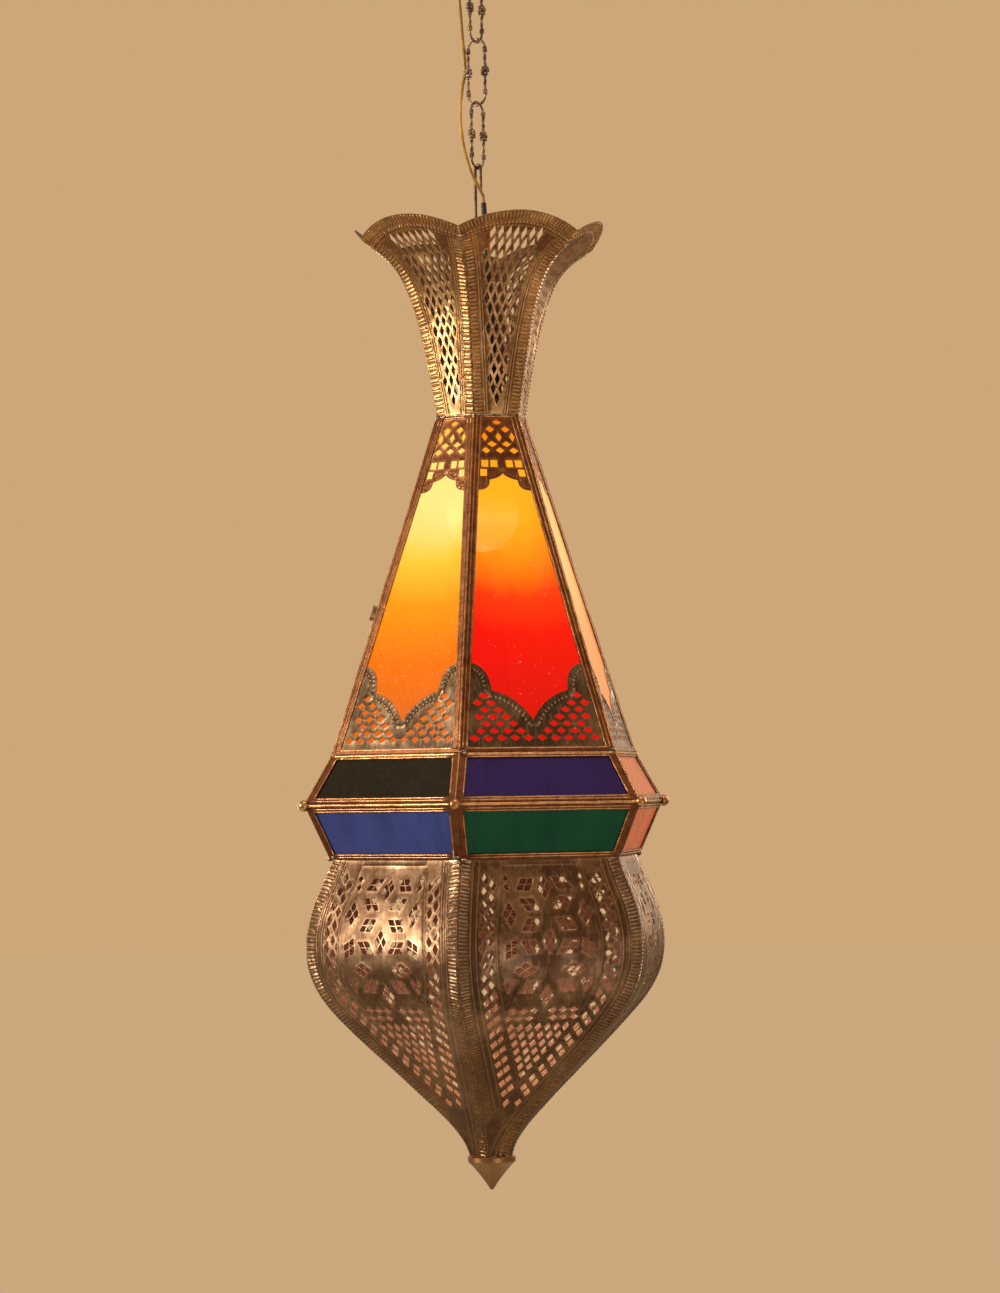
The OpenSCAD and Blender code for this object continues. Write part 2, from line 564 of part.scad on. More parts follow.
module tracery(border, low, high) {
    foot = foot_edge(border + fit_gap);
    head = head_edge(border + fit_gap);
    foot_low = inside_half(low, border + fit_gap);
    head_high = inside_half(cone_len - high, border + fit_gap);
    linear_extrude(tracery_t) difference() {
        polygon(concat([[-foot_low, low], [foot_low, low]], reversed(foot),
            [for (q = foot) [-q[0], q[1]]]));
        foot_piercings(border);
    }
    linear_extrude(tracery_t) difference() {
        polygon(concat([[head_high, cone_len - high], [-head_high, cone_len - high]],
            [for (q = reversed(head)) [-q[0], q[1]]], head));
        head_piercings(border, high);
    }
}
tracery_from = glass_from + glass_t + fit_gap;
module cone_tracery(k) color("darkgoldenrod") face(k) on_slope(cone_low, cone_high)
    translate([0, 0, tracery_from]) tracery(came_w, cone_rail + fit_gap, cone_rail + fit_gap);

// Door: its own frame in the doorway, hinged on barrels along the rear corner
door_came = 4;
door_side = jamb + door_gap;
door_rail = sill + door_gap;
hinge_out = came_t + barrel_r + rest_gap;
hinge_shares = [0.22, 0.72];
door_foot_gap = hinge_out * sin(hinge_lean) + fit_gap;  // its foot swings down a little as the door opens
module at_hinge(y) translate([-inside_half(y, jamb + door_gap / 2), y, hinge_out])
    rotate([0, 0, -hinge_lean]) rotate([-90, 0, 0]) children();
module barrel(y, side, offset) difference() {
    union() {
        at_hinge(y) translate([0, 0, offset]) cylinder(r = barrel_r, h = barrel_len);
        at_hinge(y) translate([side > 0 ? door_gap : -barrel_r - door_gap / 2, 0, offset])
            cube([barrel_r - door_gap / 2, hinge_out - came_t + fit_gap, barrel_len]);
    }
    at_hinge(y) translate([0, 0, offset - cut]) cylinder(d = hinge_pin_d + 2 * run_gap,
        h = barrel_len + 2 * cut);
}
module fixed_barrels() on_slope(cone_low, cone_high) for (s = hinge_shares) barrel(s * cone_len, -1, 0);
module door_barrels() on_slope(cone_low, cone_high) for (s = hinge_shares)
    barrel(s * cone_len, 1, barrel_len + rest_gap);
module door_hinge_pins() color("silver") face(3) on_slope(cone_low, cone_high) for (s = hinge_shares)
    at_hinge(s * cone_len) translate([0, 0, -barrel_r / 2]) cylinder(d = hinge_pin_d,
        h = 2 * barrel_len + rest_gap + barrel_r);
module door_frame() color("peru") face(3) {
    on_slope(cone_low, cone_high) difference() {
        slab(cone_border(door_side, sill + door_foot_gap, door_rail), 0, came_t);
        slab(cone_border(door_side + door_came, door_rail + door_came, door_rail + door_came), -cut,
            came_t + cut);
        slab(cone_border(door_side + door_came - glass_in, door_rail + door_came - glass_in,
            door_rail + door_came - glass_in),
             glass_from - fit_gap, glass_from + glass_t + fit_gap);
    }
    door_barrels();
}
module door_pane() color("orange") face(3) on_slope(cone_low, cone_high)
    slab(cone_border(door_side + door_came - glass_in + fit_gap, door_rail + door_came - glass_in + fit_gap,
                     door_rail + door_came - glass_in + fit_gap), glass_from, glass_from + glass_t);
module door_tracery() color("darkgoldenrod") face(3) on_slope(cone_low, cone_high)
    translate([0, 0, tracery_from]) tracery(door_side + door_came, door_rail + door_came + fit_gap,
        door_rail + door_came + fit_gap);
clip_h = 11;
clip_t = 0.8;
clip_share = 0.41;
clip_over = 2.4;
clip_lift = 0.5;
clip_lip = 4;
module door_clip() color("peru") face(3) on_slope(cone_low, cone_high)
    translate([inside_half(clip_share * cone_len, door_side), clip_share * cone_len, came_t])
        rotate([0, 0, hinge_lean]) rotate([90, 0, 0]) linear_extrude(clip_h, center = true) polygon([
            [-door_came + door_gap, 0], [-door_gap, 0], [0, clip_lift], [clip_over, clip_lift],
            [clip_over, clip_lift + clip_lip], [clip_over - clip_t, clip_lift + clip_lip],
            [clip_over - clip_t, clip_lift + clip_t], [-clip_t, clip_lift + clip_t],
                [-door_came + door_gap, clip_t]]);

// Belt: twelve small panes in one frame, upper ones lean out and lower ones lean in
upper_low = [flat_share * belt_r - came_t, z_ridge];
belt_drop_share = 0.24;             // keeps the leaning edges of belt and cone apart
upper_high = [cone_low[0], z_cone - belt_drop_share * came_t];
lower_low = [flat_share * belt_foot_r - came_t, z_foot];
lower_high = upper_low;
function belt_border(low, high, b) = inner_trapezoid(low[0] * tan(half_sector), high[0] * tan(half_sector),
    slope_len(low, high), b, b, b);
module belt_band(low, high) for (k = [0 : sides - 1]) face(k) difference() {
    intersection() {
        on_slope(low, high) linear_extrude(came_t)
            polygon([[-reach, 0], [reach, 0], [reach, slope_len(low, high)],
                [-reach, slope_len(low, high)]]);
        sector_cut(-fit_gap);
    }
    on_slope(low, high) {
        slab(belt_border(low, high, belt_came_w), -cut, came_t + cut);
        slab(belt_border(low, high, belt_came_w - glass_in), glass_from - fit_gap,
            glass_from + glass_t + fit_gap);
    }
}
ridge_r = came_t / 2;
ridge_at = upper_low[0] + came_t / 3;
module belt_frame() color("peru") {
    belt_band(upper_low, upper_high);
    belt_band(lower_low, lower_high);
    for (k = [0 : sides - 1]) face(k) intersection() {
        translate([ridge_at, 0, z_ridge]) rotate([90, 0, 0])
            cylinder(r = ridge_r, h = reach, center = true);
        sector_cut(-fit_gap);
    }
    for (k = [0 : sides - 1]) face(k) {
        corner_bead(bead_line(upper_low), bead_line(upper_high - [0, bead_r]), bead_r);
        corner_bead(bead_line(lower_low), bead_line(lower_high), bead_r);
    }
}
module belt_pane(k, low, high) face(k) on_slope(low, high)
    slab(belt_border(low, high, belt_came_w - glass_in + fit_gap), glass_from, glass_from + glass_t);
module belt_upper_panes(k, tint) color(tint) for (s = [0, 3]) belt_pane(k + s, upper_low, upper_high);
module belt_lower_panes(k, tint) color(tint) for (s = [0, 3]) belt_pane(k + s, lower_low, lower_high);
knob_at = (ridge_at + ridge_r + fit_gap) / flat_share + fit_gap;
knob_sunk_share = 0.4;
module belt_knobs() color("gold") for (k = [0 : sides - 1]) rotate([0, 0, half_sector + k * sector])
    translate([knob_at, 0, z_ridge]) difference() {
        translate([knob_sunk_share * knob_r, 0, 0]) sphere(knob_r);
        translate([-2 * knob_r, -2 * knob_r, -2 * knob_r]) cube([2 * knob_r, 4 * knob_r, 4 * knob_r]);
    }

// Onion gores: rosettes of split rhombs, a small lattice below and a double border row at each side
onion_top_down = reversed(onion_line);
onion_run = lengths(onion_top_down);
function onion_z(s) = along(onion_top_down, onion_run, s)[1];
function onion_half(s) = along(onion_top_down, onion_run, s)[0] * tan(half_sector);
module pierced_gore(points) polygon([for (p = points) [p[0], onion_z(p[1])]]);
rosette_span = 39.8;
rhomb_share = 0.47;
rhomb_ratio = 0.62;
bar_share = 0.82;
border_first = 20;
border_step = 5.6;
border_pitch = 10.2;
border_from = 14;
border_hole = [5, 8.4];
part_hole = [4.4, 5.6];
field_from = 29;
module split_rhomb(c, turn) {
    long = rosette_span * rhomb_share;
    short = long * rhomb_ratio;
    for (q = [[long / 4, 0], [-long / 4, 0], [0, short / 4], [0, -short / 4]])
        pierced_gore(diamond(c + [q[0] * cos(turn) - q[1] * sin(turn), q[0] * sin(turn) + q[1] * cos(turn)],
            bar_share * long / 2, bar_share * short / 2, turn));
}
// Rhombs of the rosettes in spans: place along the run, place to the side, turn on the right-hand side
rosette_shares = [[0.533, 0, 90], [1.52, 0, 90], [2.538, 0, 90],
                  [0.467, 0.34, 30], [0.837, 0.318, -30], [1.224, 0.328, 30], [1.628, 0.343, -30],
                      [2.35, 0.337, 30],
                  [1.025, 0.71, 90], [1.65, 0.735, 60], [2.028, 0.46, 0]];
// Single openings of the rhombs that the border cuts off
part_shares = [[0.36, 0.71], [0.52, 0.71], [2.27, 0.665], [2.27, 0.795], [2.41, 0.73]];
module rosettes() {
    for (p = rosette_shares, s = p[1] > 0 ? [-1, 1] : [1])
        split_rhomb([s * p[1], p[0]] * rosette_span, p[1] > 0 ? s * p[2] : p[2]);
    for (p = part_shares, s = [-1, 1])
        pierced_gore(diamond([s * p[1], p[0]] * rosette_span, part_hole[0], part_hole[1]));
}
triple_at = [15, 114];
triple_step = [8, 7];
triple_lean = 2;
triple_hole = [7, 5];
module triples() for (s = [-1, 1], i = [-1 : 1], j = [0, 1])
    pierced_gore(diamond([s * (triple_at[0] + i * triple_step[0] + j * triple_lean),
        triple_at[1] + j * triple_step[1]],
        triple_hole[0], triple_hole[1]));
lattice_from = 130;
lattice_row = 8;
lattice_pitch = 7;
lattice_hole = [5, 8.4];
lattice_rows = 8;
module onion_lattice() for (r = [0 : lattice_rows - 1], c = [-5 : 5]) {
    x = (c + (r % 2) / 2) * lattice_pitch;
    s = lattice_from + r * lattice_row;
    if (abs(x) + lattice_hole[0] / 2 < onion_half(s) - field_from)
        pierced_gore(diamond([x, s], lattice_hole[0], lattice_hole[1]));
}
module border_rows() for (side = [-1, 1], col = [0, 1], r = [0 : 30]) {
    s = border_from + (r + col / 2) * border_pitch;
    run_end = onion_run[len(onion_run) - 1];
    x = s < run_end - border_hole[1] ? onion_half(s) - border_first - col * border_step : 0;
    if (x > (border_hole[0] + hole_edge) / 2)
        pierced_gore(diamond([side * x, s], border_hole[0], border_hole[1]));
}
module onion_gore(k) color("darkgoldenrod") face(k) difference() {
    bent_sheet(onion_line, seam);
    through_face() linear_extrude(reach) {
        rosettes();
        triples();
        onion_lattice();
        border_rows();
    }
}
finial_share = 0.14;
module finial() color("peru") rotate_extrude() polygon(concat(
    [[0, z_onion - rest_gap], [finial_r, z_onion - rest_gap],
        [finial_r, z_onion - finial_share * finial_h]],
    bow([0.8 * finial_r, z_onion - 2 * finial_share * finial_h], [0.35 * finial_r, z_tip + 0.35 * finial_h],
        [0.06 * finial_r, z_tip], 6), [[0, z_tip]]));

// Flex: swept along its own route from the sleeve's mouth to the bush in the cover
z_bush = z_canopy - bush_flange_t;
flex_lift = flex_d * unit(sleeve_axis);
flex_sway = 12;
// Its way up: shares of the sway along X and Y, share of the rise from the sleeve to the bush
flex_shares = [
    [0.333, -0.308, 0.0285], [0.067, -0.467, 0.0662], [-0.383, -0.65, 0.1308], [-0.75, -0.567, 0.2169],
    [-0.95, -0.367, 0.303], [-1, -0.083, 0.3891], [-0.95, 0.367, 0.4645], [-0.85, 0.733, 0.5291],
    [-0.85, 0.617, 0.5936], [-0.883, 0.233, 0.669], [-0.917, -0.083, 0.7443], [-0.967, -0.367, 0.8197],
    [-1, -0.533, 0.895]
];
flex_route = concat([sleeve_mouth + flex_lift],
    [for (p = flex_shares) [p[0] * flex_sway, p[1] * flex_sway,
        sleeve_mouth[2] + p[2] * (z_bush - sleeve_mouth[2])]],
    [for (n = [2, 1]) [bush_at[0], bush_at[1], z_bush - n * flex_d]]);
flex_steps = 2;
flex_sides = 8;
flex_points = concat([sleeve_mouth], smooth(flex_route, flex_steps), [[bush_at[0], bush_at[1], z_bush]]);
function flex_tangent(i) = unit(flex_points[min(i + 1, len(flex_points) - 1)] - flex_points[max(i - 1, 0)]);
function flex_ring(i) = let (d = flex_tangent(i), u = unit(cross(d, [0, 1, 0])), v = cross(d, u))
    [for (k = [0 : flex_sides - 1]) flex_points[i]
        + flex_d / 2 * (u * cos(k * 360 / flex_sides) + v * sin(k * 360 / flex_sides))];
module flex_part(from, to) color("gold") {
    rings = to - from;
    polyhedron(
        points = [for (i = [from : to]) each flex_ring(i)],
        faces = concat(
            [[for (k = [0 : flex_sides - 1]) k]],
            [for (r = [0 : rings - 1], k = [0 : flex_sides - 1])
                let (n = (k + 1) % flex_sides, a = r * flex_sides)
                each [[a + k, a + flex_sides + k, a + flex_sides + n], [a + k, a + flex_sides + n, a + n]]],
            [[for (k = [flex_sides - 1 : -1 : 0]) rings * flex_sides + k]]));
}
flex_splits = [0, 10, 17, 24, len(flex_points) - 1];

ceiling_bar();
ceiling_canopy();
ceiling_hook();
canopy_nut();
canopy_bush();
flex_part(flex_splits[0], flex_splits[1]);  // flex_lower
flex_part(flex_splits[1], flex_splits[2]);  // flex_middle
flex_part(flex_splits[2], flex_splits[3]);  // flex_upper
flex_part(flex_splits[3], flex_splits[4]);  // flex_top
chain_link(z_link_top, 1);  // chain_link_top
chain_link(z_link_middle, 0);  // chain_link_middle
chain_link(z_link_bottom, 1);  // chain_link_bottom
hanging_hook();
hook_nuts();
hook_bar();
flex_sleeve();
lamp_strap();
lampholder_nut();
lampholder();
bulb_cap();
bulb_glass();
neck_collar();
crown_petal(0);  // crown_petal_1
crown_petal(1);  // crown_petal_2
crown_petal(2);  // crown_petal_3
crown_petal(3);  // crown_petal_4
crown_petal(4);  // crown_petal_5
crown_petal(5);  // crown_petal_6
cone_frame();
cone_pane(0, "salmon");  // cone_pane_1
cone_pane(1, "orange");  // cone_pane_2
cone_pane(2, "red");  // cone_pane_3
cone_pane(4, "orange");  // cone_pane_5
cone_pane(5, "red");  // cone_pane_6
cone_tracery(0);  // cone_tracery_1
cone_tracery(1);  // cone_tracery_2
cone_tracery(2);  // cone_tracery_3
cone_tracery(4);  // cone_tracery_5
cone_tracery(5);  // cone_tracery_6
door_frame();
door_pane();
door_tracery();
door_clip();
door_hinge_pins();
belt_frame();
belt_knobs();
belt_upper_panes(0, "sandybrown");  // belt_upper_panes_amber
belt_upper_panes(2, "indigo");  // belt_upper_panes_violet
belt_upper_panes(1, "darkolivegreen");  // belt_upper_panes_olive
belt_lower_panes(0, "darkorange");  // belt_lower_panes_orange
belt_lower_panes(2, "seagreen");  // belt_lower_panes_green
belt_lower_panes(1, "royalblue");  // belt_lower_panes_blue
onion_gore(0);  // onion_gore_1
onion_gore(1);  // onion_gore_2
onion_gore(2);  // onion_gore_3
onion_gore(3);  // onion_gore_4
onion_gore(4);  // onion_gore_5
onion_gore(5);  // onion_gore_6
finial();
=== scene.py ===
"""Hexagonal hanging lantern of pierced brass sheet and coloured glass, as a small Blender add-on."""

import random
from math import atan, atan2, ceil, cos, dist, hypot, pi, radians, sin, sqrt, tan, tau

import bmesh
import bpy
import numpy as np
from bpy.props import FloatProperty, FloatVectorProperty, IntProperty, PointerProperty
from mathutils import Matrix, Vector, noise
from mathutils.geometry import delaunay_2d_cdt


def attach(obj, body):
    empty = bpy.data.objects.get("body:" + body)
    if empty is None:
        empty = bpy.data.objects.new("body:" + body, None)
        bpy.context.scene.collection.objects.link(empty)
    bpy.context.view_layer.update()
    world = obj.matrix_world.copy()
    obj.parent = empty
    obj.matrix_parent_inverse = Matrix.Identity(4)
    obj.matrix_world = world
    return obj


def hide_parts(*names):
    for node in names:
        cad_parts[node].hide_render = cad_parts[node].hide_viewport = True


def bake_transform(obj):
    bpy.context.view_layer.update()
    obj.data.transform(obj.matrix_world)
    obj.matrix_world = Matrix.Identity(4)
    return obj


bl_info = {
    "name": "Pierced Lantern",
    "version": (1, 0, 0),
    "blender": (4, 5, 0),
    "location": "View3D > Sidebar > Lantern",
    "description": "Chased sheet, glass, chain and flex for a hanging lantern",
    "category": "Add Mesh",
}

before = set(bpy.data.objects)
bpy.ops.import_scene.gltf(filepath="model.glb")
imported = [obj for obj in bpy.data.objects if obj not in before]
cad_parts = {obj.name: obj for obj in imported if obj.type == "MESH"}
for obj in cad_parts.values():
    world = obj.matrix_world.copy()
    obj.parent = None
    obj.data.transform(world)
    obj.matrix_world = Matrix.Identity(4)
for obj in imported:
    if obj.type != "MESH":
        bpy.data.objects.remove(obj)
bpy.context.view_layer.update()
MM = 0.001
FLAT, TAN = cos(radians(30)), tan(radians(30))

# Levels, corner radii and thicknesses of the frame, in millimetres
Z_NECK, Z_CONE, Z_RIDGE, Z_FOOT, Z_ONION = -365.9, -612.1, -647.6, -685.1, -904.1
NECK_CORNER, CONE_CORNER, RIDGE_CORNER, FOOT_CORNER = 34, 118, 139.1, 121
NECK_R, CROWN_R, CROWN_H = 35.5, 92.6, 128.0
ONION_R, ONION_H = 140.7, 219 - 0.36 * 3.6
SHEET_T, CAME_T, CAME_W = 0.9, 3.6, 4.2
LAMP = (0.0, 0.0, -438.4)


# ---- settings
def length(name, description, default, low, high):
    """A length in metres with its range."""
    return FloatProperty(name=name, description=description, default=default, min=low, max=high,
                         unit="LENGTH", precision=5)


def tint(name, description, default):
    """A colour of glass, metal or plastic."""
    return FloatVectorProperty(name=name, description=description, default=default, min=0.0, max=1.0,
                               subtype="COLOR")


def power(name, description, default):
    """The power of a lamp in watts."""
    return FloatProperty(name=name, description=description, default=default, min=0.0, max=400.0, unit="POWER")


class FlexSettings(bpy.types.PropertyGroup):
    radius: length("Radius", "Half the width of the jacket", 0.00128, 0.0008, 0.0013)
    dark: tint("Handled", "Ochre of the jacket where hands have been", (0.36, 0.17, 0.018))
    bright: tint("Clean", "Yellow of the jacket where it is clean", (0.66, 0.39, 0.05))


class ChainSettings(bpy.types.PropertyGroup):
    wire: length("Wire", "Thickness of the wire of the bends", 0.002, 0.0012, 0.003)
    twin: length("Thin wire", "Thickness of the twisted side wires", 0.0016, 0.0008, 0.002)
    twist: FloatProperty(name="Twist", description="Turns of the side wires round each other",
                         default=2.5, min=0.0, max=6.0)
    sides: IntProperty(name="Sides", description="Sides of each wire", default=10, min=6, max=24)
    iron: tint("Iron", "Rubbed colour of the chain's wire", (0.36, 0.26, 0.19))
    hook: tint("Hook", "Rubbed colour of the hooks", (0.20, 0.12, 0.085))


class SheetSettings(bpy.types.PropertyGroup):
    rib_pitch: length("Rib pitch", "Distance of the hammered ribs along the edges", 0.0028, 0.0015, 0.005)
    rib_height: length("Rib height", "Height of the hammered ribs", 0.0009, 0.0, 0.0015)
    line_height: length("Line height", "Height of the raised lines", 0.0006, 0.0, 0.0015)
    bead_height: length("Bead height", "Height of the beads", 0.0009, 0.0, 0.0018)
    burr: length("Burr", "Height of the punched edge round each hole", 0.00022, 0.0, 0.0006)
    wander: length("Wander", "Hand-cut irregularity of the holes", 0.00022, 0.0, 0.0008)
    dents: length("Dents", "Depth of the slow dents of the sheet", 0.00045, 0.0, 0.002)
    crown: tint("Crown brass", "Bright brass of the crown", (0.86, 0.54, 0.26))
    onion: tint("Onion brass", "Bright brass of the onion", (0.50, 0.335, 0.22))
    foot: tint("Foot tracery", "Bright sheet at the foot of the panes", (0.58, 0.41, 0.26))
    head: tint("Head tracery", "Bright sheet at the head of the panes", (0.52, 0.24, 0.11))


class CameSettings(bpy.types.PropertyGroup):
    rod: length("Rod", "Radius of the ribs on the cames", 0.0006, 0.0004, 0.0016)
    ridge: length("Ridge rod", "Radius of the rods along the ridge and the cone's foot", 0.0013, 0.0005, 0.002)
    blob: length("Solder", "Size of the solder blobs", 0.0026, 0.0005, 0.004)
    bronze: tint("Bronze", "Rubbed bronze of the cames", (0.24, 0.095, 0.045))
    copper: tint("Copper", "Rubbed copper of the ribs", (0.70, 0.40, 0.20))


class GlassSettings(bpy.types.PropertyGroup):
    # The panes' glow is painted light, given as emission on the glass.
    glow: FloatProperty(name="Glow", description="Light that the lit panes give", default=1.0, min=0.0, max=4.0)
    reach: length("Reach", "Distance from the lamp at which the glow has its deepest colour", 0.19, 0.09, 0.4)
    amber: tint("Amber", "Amber panes far from the lamp", (0.60, 0.105, 0.001))
    red: tint("Red", "Red panes far from the lamp", (0.58, 0.002, 0.001))
    salmon: tint("Salmon", "Salmon pane far from the lamp", (0.62, 0.17, 0.055))
    rose: tint("Rose", "Rose panes of the belt", (0.78, 0.22, 0.10))
    olive: tint("Olive", "Olive panes of the belt", (0.019, 0.016, 0.010))
    violet: tint("Violet", "Violet panes of the belt", (0.046, 0.022, 0.155))
    blue: tint("Blue", "Blue panes of the belt", (0.042, 0.066, 0.29))
    green: tint("Green", "Green panes of the belt", (0.006, 0.115, 0.062))


class StageSettings(bpy.types.PropertyGroup):
    key: power("Key", "Key light from the left front", 62.0)
    fill: power("Fill", "Fill light from the right front", 11.0)
    back: power("Back", "Each of the two lights behind", 26.0)
    lamp: power("Lamp", "Light that the lamp throws into the onion", 2.4)
    backdrop: tint("Backdrop", "Colour of the background", (0.61, 0.385, 0.195))
    around: tint("Surroundings", "Colour of the light from all round", (0.36, 0.285, 0.20))


# ---- shader sockets
class Sock:
    """A shader socket that takes part in sums, so that 1 - mask adds the Math nodes that it needs."""

    def __init__(self, tree, out):
        self.tree, self.out = tree, out

    def math(self, operation, *values, clamp=False):
        settings = {"operation": operation, "use_clamp": clamp}
        return self.tree.node("ShaderNodeMath", settings, dict(enumerate(values)))

    def __add__(self, v):
        return self.math("ADD", self, v)

    def __sub__(self, v):
        return self.math("SUBTRACT", self, v)

    def __rsub__(self, v):
        return self.math("SUBTRACT", v, self)

    def __mul__(self, v):
        return self.math("MULTIPLY", self, v)

    __radd__, __rmul__ = __add__, __mul__

    def clamp(self):
        return self.math("ADD", self, 0.0, clamp=True)

    def step(self, low, high, a=0.0, b=1.0):
        """a below low, b above high, and a smooth way between."""
        return self.tree.node("ShaderNodeMapRange", {"interpolation_type": "SMOOTHSTEP"},
                              dict(enumerate((self, low, high, a, b))))


class Tree:
    """The nodes of a material or of the world."""

    def __init__(self, owner):
        self.data = owner
        owner.use_nodes = True
        self.nodes, self.links = owner.node_tree.nodes, owner.node_tree.links
        self.nodes.clear()

    def put(self, socket, v):
        if isinstance(v, Sock):
            self.links.new(v.out, socket)
        elif hasattr(v, "__len__") and len(socket.default_value) == len(v) + 1:
            socket.default_value = (*v, 1.0)
        else:
            socket.default_value = v

    def node(self, kind, settings=None, sockets=None, out=0):
        """Adds a node: its settings first, a ramp's stops too, then the values or links of its sockets."""
        n = self.nodes.new(kind)
        for key, v in (settings or {}).items():
            if key != "stops":
                setattr(n, key, v)
                continue
            for i, (place, colour) in enumerate(v):
                stop = n.color_ramp.elements[i] if i < 2 else n.color_ramp.elements.new(place)
                stop.position, stop.color = place, (*colour, 1.0)
        for key, v in (sockets or {}).items():
            self.put(n.inputs[key], v)
        return Sock(self, n.outputs[out]) if n.outputs else n

    def mix(self, t, a, b):
        """Colour a where t is 0, colour b where it is 1."""
        return self.node("ShaderNodeMix", {"data_type": "RGBA"}, {0: t, 6: a, 7: b}, out=2)


class Surface(Tree):
    """A material whose Principled sockets are fed by sums."""

    def __init__(self, name, metal=0.0):
        super().__init__(bpy.data.materials.new(name))
        shader = self.node("ShaderNodeBsdfPrincipled", None, {"Metallic": metal})
        self.shader = shader.out.node
        self.node("ShaderNodeOutputMaterial", None, {"Surface": shader})
        self.place = self.node("ShaderNodeTexCoord", out="Object")

    def set(self, **values):
        for key, v in values.items():
            self.put(self.shader.inputs[key.replace("_", " ")], v)
        return self

    def stretched(self, by):
        """The place on the object, stretched along the three axes."""
        if not by:
            return self.place
        return self.node("ShaderNodeVectorMath", {"operation": "MULTIPLY"}, {0: self.place, 1: by})

    def noise(self, scale, detail=3.0, rough=0.55, stretch=None):
        sockets = {"Vector": self.stretched(stretch), "Scale": scale, "Detail": detail, "Roughness": rough}
        return self.node("ShaderNodeTexNoise", None, sockets, out="Fac")

    def distance_to(self, point):
        sockets = {0: self.place, 1: point}
        return self.node("ShaderNodeVectorMath", {"operation": "DISTANCE"}, sockets, out="Value")

    def attribute(self, name):
        return self.node("ShaderNodeAttribute", {"attribute_name": name}, out="Fac")

    def height(self):
        return self.node("ShaderNodeSeparateXYZ", None, {0: self.place}, out="Z")

    def bump(self, height, strength, distance):
        sockets = {"Strength": strength, "Distance": distance, "Height": height}
        return self.set(Normal=self.node("ShaderNodeBump", None, sockets))


def finish_nodes(finish, *names):
    """Gives CAD nodes their finish."""
    for name in names:
        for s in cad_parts[name].material_slots:
            s.material = FINISH[finish].data


# ---- mesh helpers
def added(name, data, at=(0.0, 0.0, 0.0)):
    """A new object of the scene at its place."""
    obj = bpy.data.objects.new(name, data)
    obj.location = at
    bpy.context.scene.collection.objects.link(obj)
    return obj


def new_object(name, verts, faces, surface):
    """A smooth mesh from points in millimetres."""
    mesh = bpy.data.meshes.new(name)
    mesh.from_pydata([tuple(v * MM) for v in verts], [], faces)
    mesh.validate()
    mesh.polygons.foreach_set("use_smooth", [True] * len(mesh.polygons))
    mesh.materials.append(surface.data)
    return added(name, mesh)


def dress(obj, body, node=None):
    """Hangs a piece on its body and hides the CAD node that it stands for, if it is given one."""
    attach(obj, body)
    if node:
        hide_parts(node)


def spline(p, steps):
    """A Catmull-Rom line through the points, in the same steps as the frame's own."""
    p = [np.array(q, float) for q in p]
    out = []
    for i in range(len(p) - 1):
        a, b, c, d = p[max(i - 1, 0)], p[i], p[i + 1], p[min(i + 2, len(p) - 1)]
        for t in (k / steps for k in range(steps)):
            cubic = (3 * b - a - 3 * c + d) * t**3
            out.append(0.5 * (2 * b + (c - a) * t + (2 * a - 5 * b + 4 * c - d) * t * t + cubic))
    return out + [p[-1]]


def bow(a, b, c, steps):
    """A bow from a to c that is drawn towards b."""
    a, b, c = (np.array(q, float) for q in (a, b, c))
    return [(1 - t) ** 2 * a + 2 * t * (1 - t) * b + t * t * c for t in (k / steps for k in range(steps + 1))]


def turned(v, degrees):
    """The point turned about the lantern's axis."""
    c, s = cos(radians(degrees)), sin(radians(degrees))
    return np.array([v[0] * c - v[1] * s, v[0] * s + v[1] * c, v[2]])


class Pile:
    """Collects shapes in millimetres for one mesh."""

    def __init__(self):
        self.verts, self.faces = [], []

    def add(self, verts, faces):
        n = len(self.verts)
        self.verts += verts
        self.faces += [[n + i for i in f] for f in faces]

    def tube(self, path, r, sides=8, closed=False, flat=1.0):
        """A wire along the path, its thickness one way the given share of the other."""
        path = [np.array(p, float) for p in path]
        n, rings, side = len(path), [], None
        for i, p in enumerate(path):
            a, b = (path[j % n if closed else min(max(j, 0), n - 1)] for j in (i - 1, i + 1))
            d = (b - a) / np.linalg.norm(b - a)
            if side is None:
                side = np.cross(d, [0.0, 0.0, 1.0])
                if np.linalg.norm(side) < 0.2:
                    side = np.cross(d, [0.0, 1.0, 0.0])
            side = side - d * np.dot(side, d)
            side /= np.linalg.norm(side)
            other = flat * np.cross(d, side)
            turns = [k * tau / sides for k in range(sides)]
            rings += [p + r * (side * cos(t) + other * sin(t)) for t in turns]
        faces = []
        for i in range(n if closed else n - 1):
            at, up = i * sides, (i + 1) % n * sides
            for k in range(sides):
                m = (k + 1) % sides
                faces.append([at + m, up + m, up + k, at + k])
        if not closed:
            faces += [list(range(sides)), list(range((n - 1) * sides, n * sides))[::-1]]
        self.add(rings, faces)

    def ball(self, centre, size, rough, seed):
        """An uneven ball of one half size or of three."""
        bm = bmesh.new()
        bmesh.ops.create_icosphere(bm, subdivisions=2, radius=1.0)
        verts, shift = [], Vector((seed * 3.1, seed * 1.7, seed))
        for v in bm.verts:
            k = 1.0 + rough * noise.noise(v.co * 1.7 + shift)
            verts.append(np.array(centre) + np.array(size) * np.array(v.co) * k)
        self.add(verts, [[v.index for v in f.verts] for f in bm.faces])
        bm.free()

    def build(self, name, surface):
        return new_object(name, self.verts, self.faces, surface)


# ---- chased and pierced sheet
def runs(line):
    """The length of each step of a line, and how far along it each point lies."""
    steps = np.hypot(*np.diff(line, axis=0).T)
    return steps, np.concatenate([[0], np.cumsum(steps)])


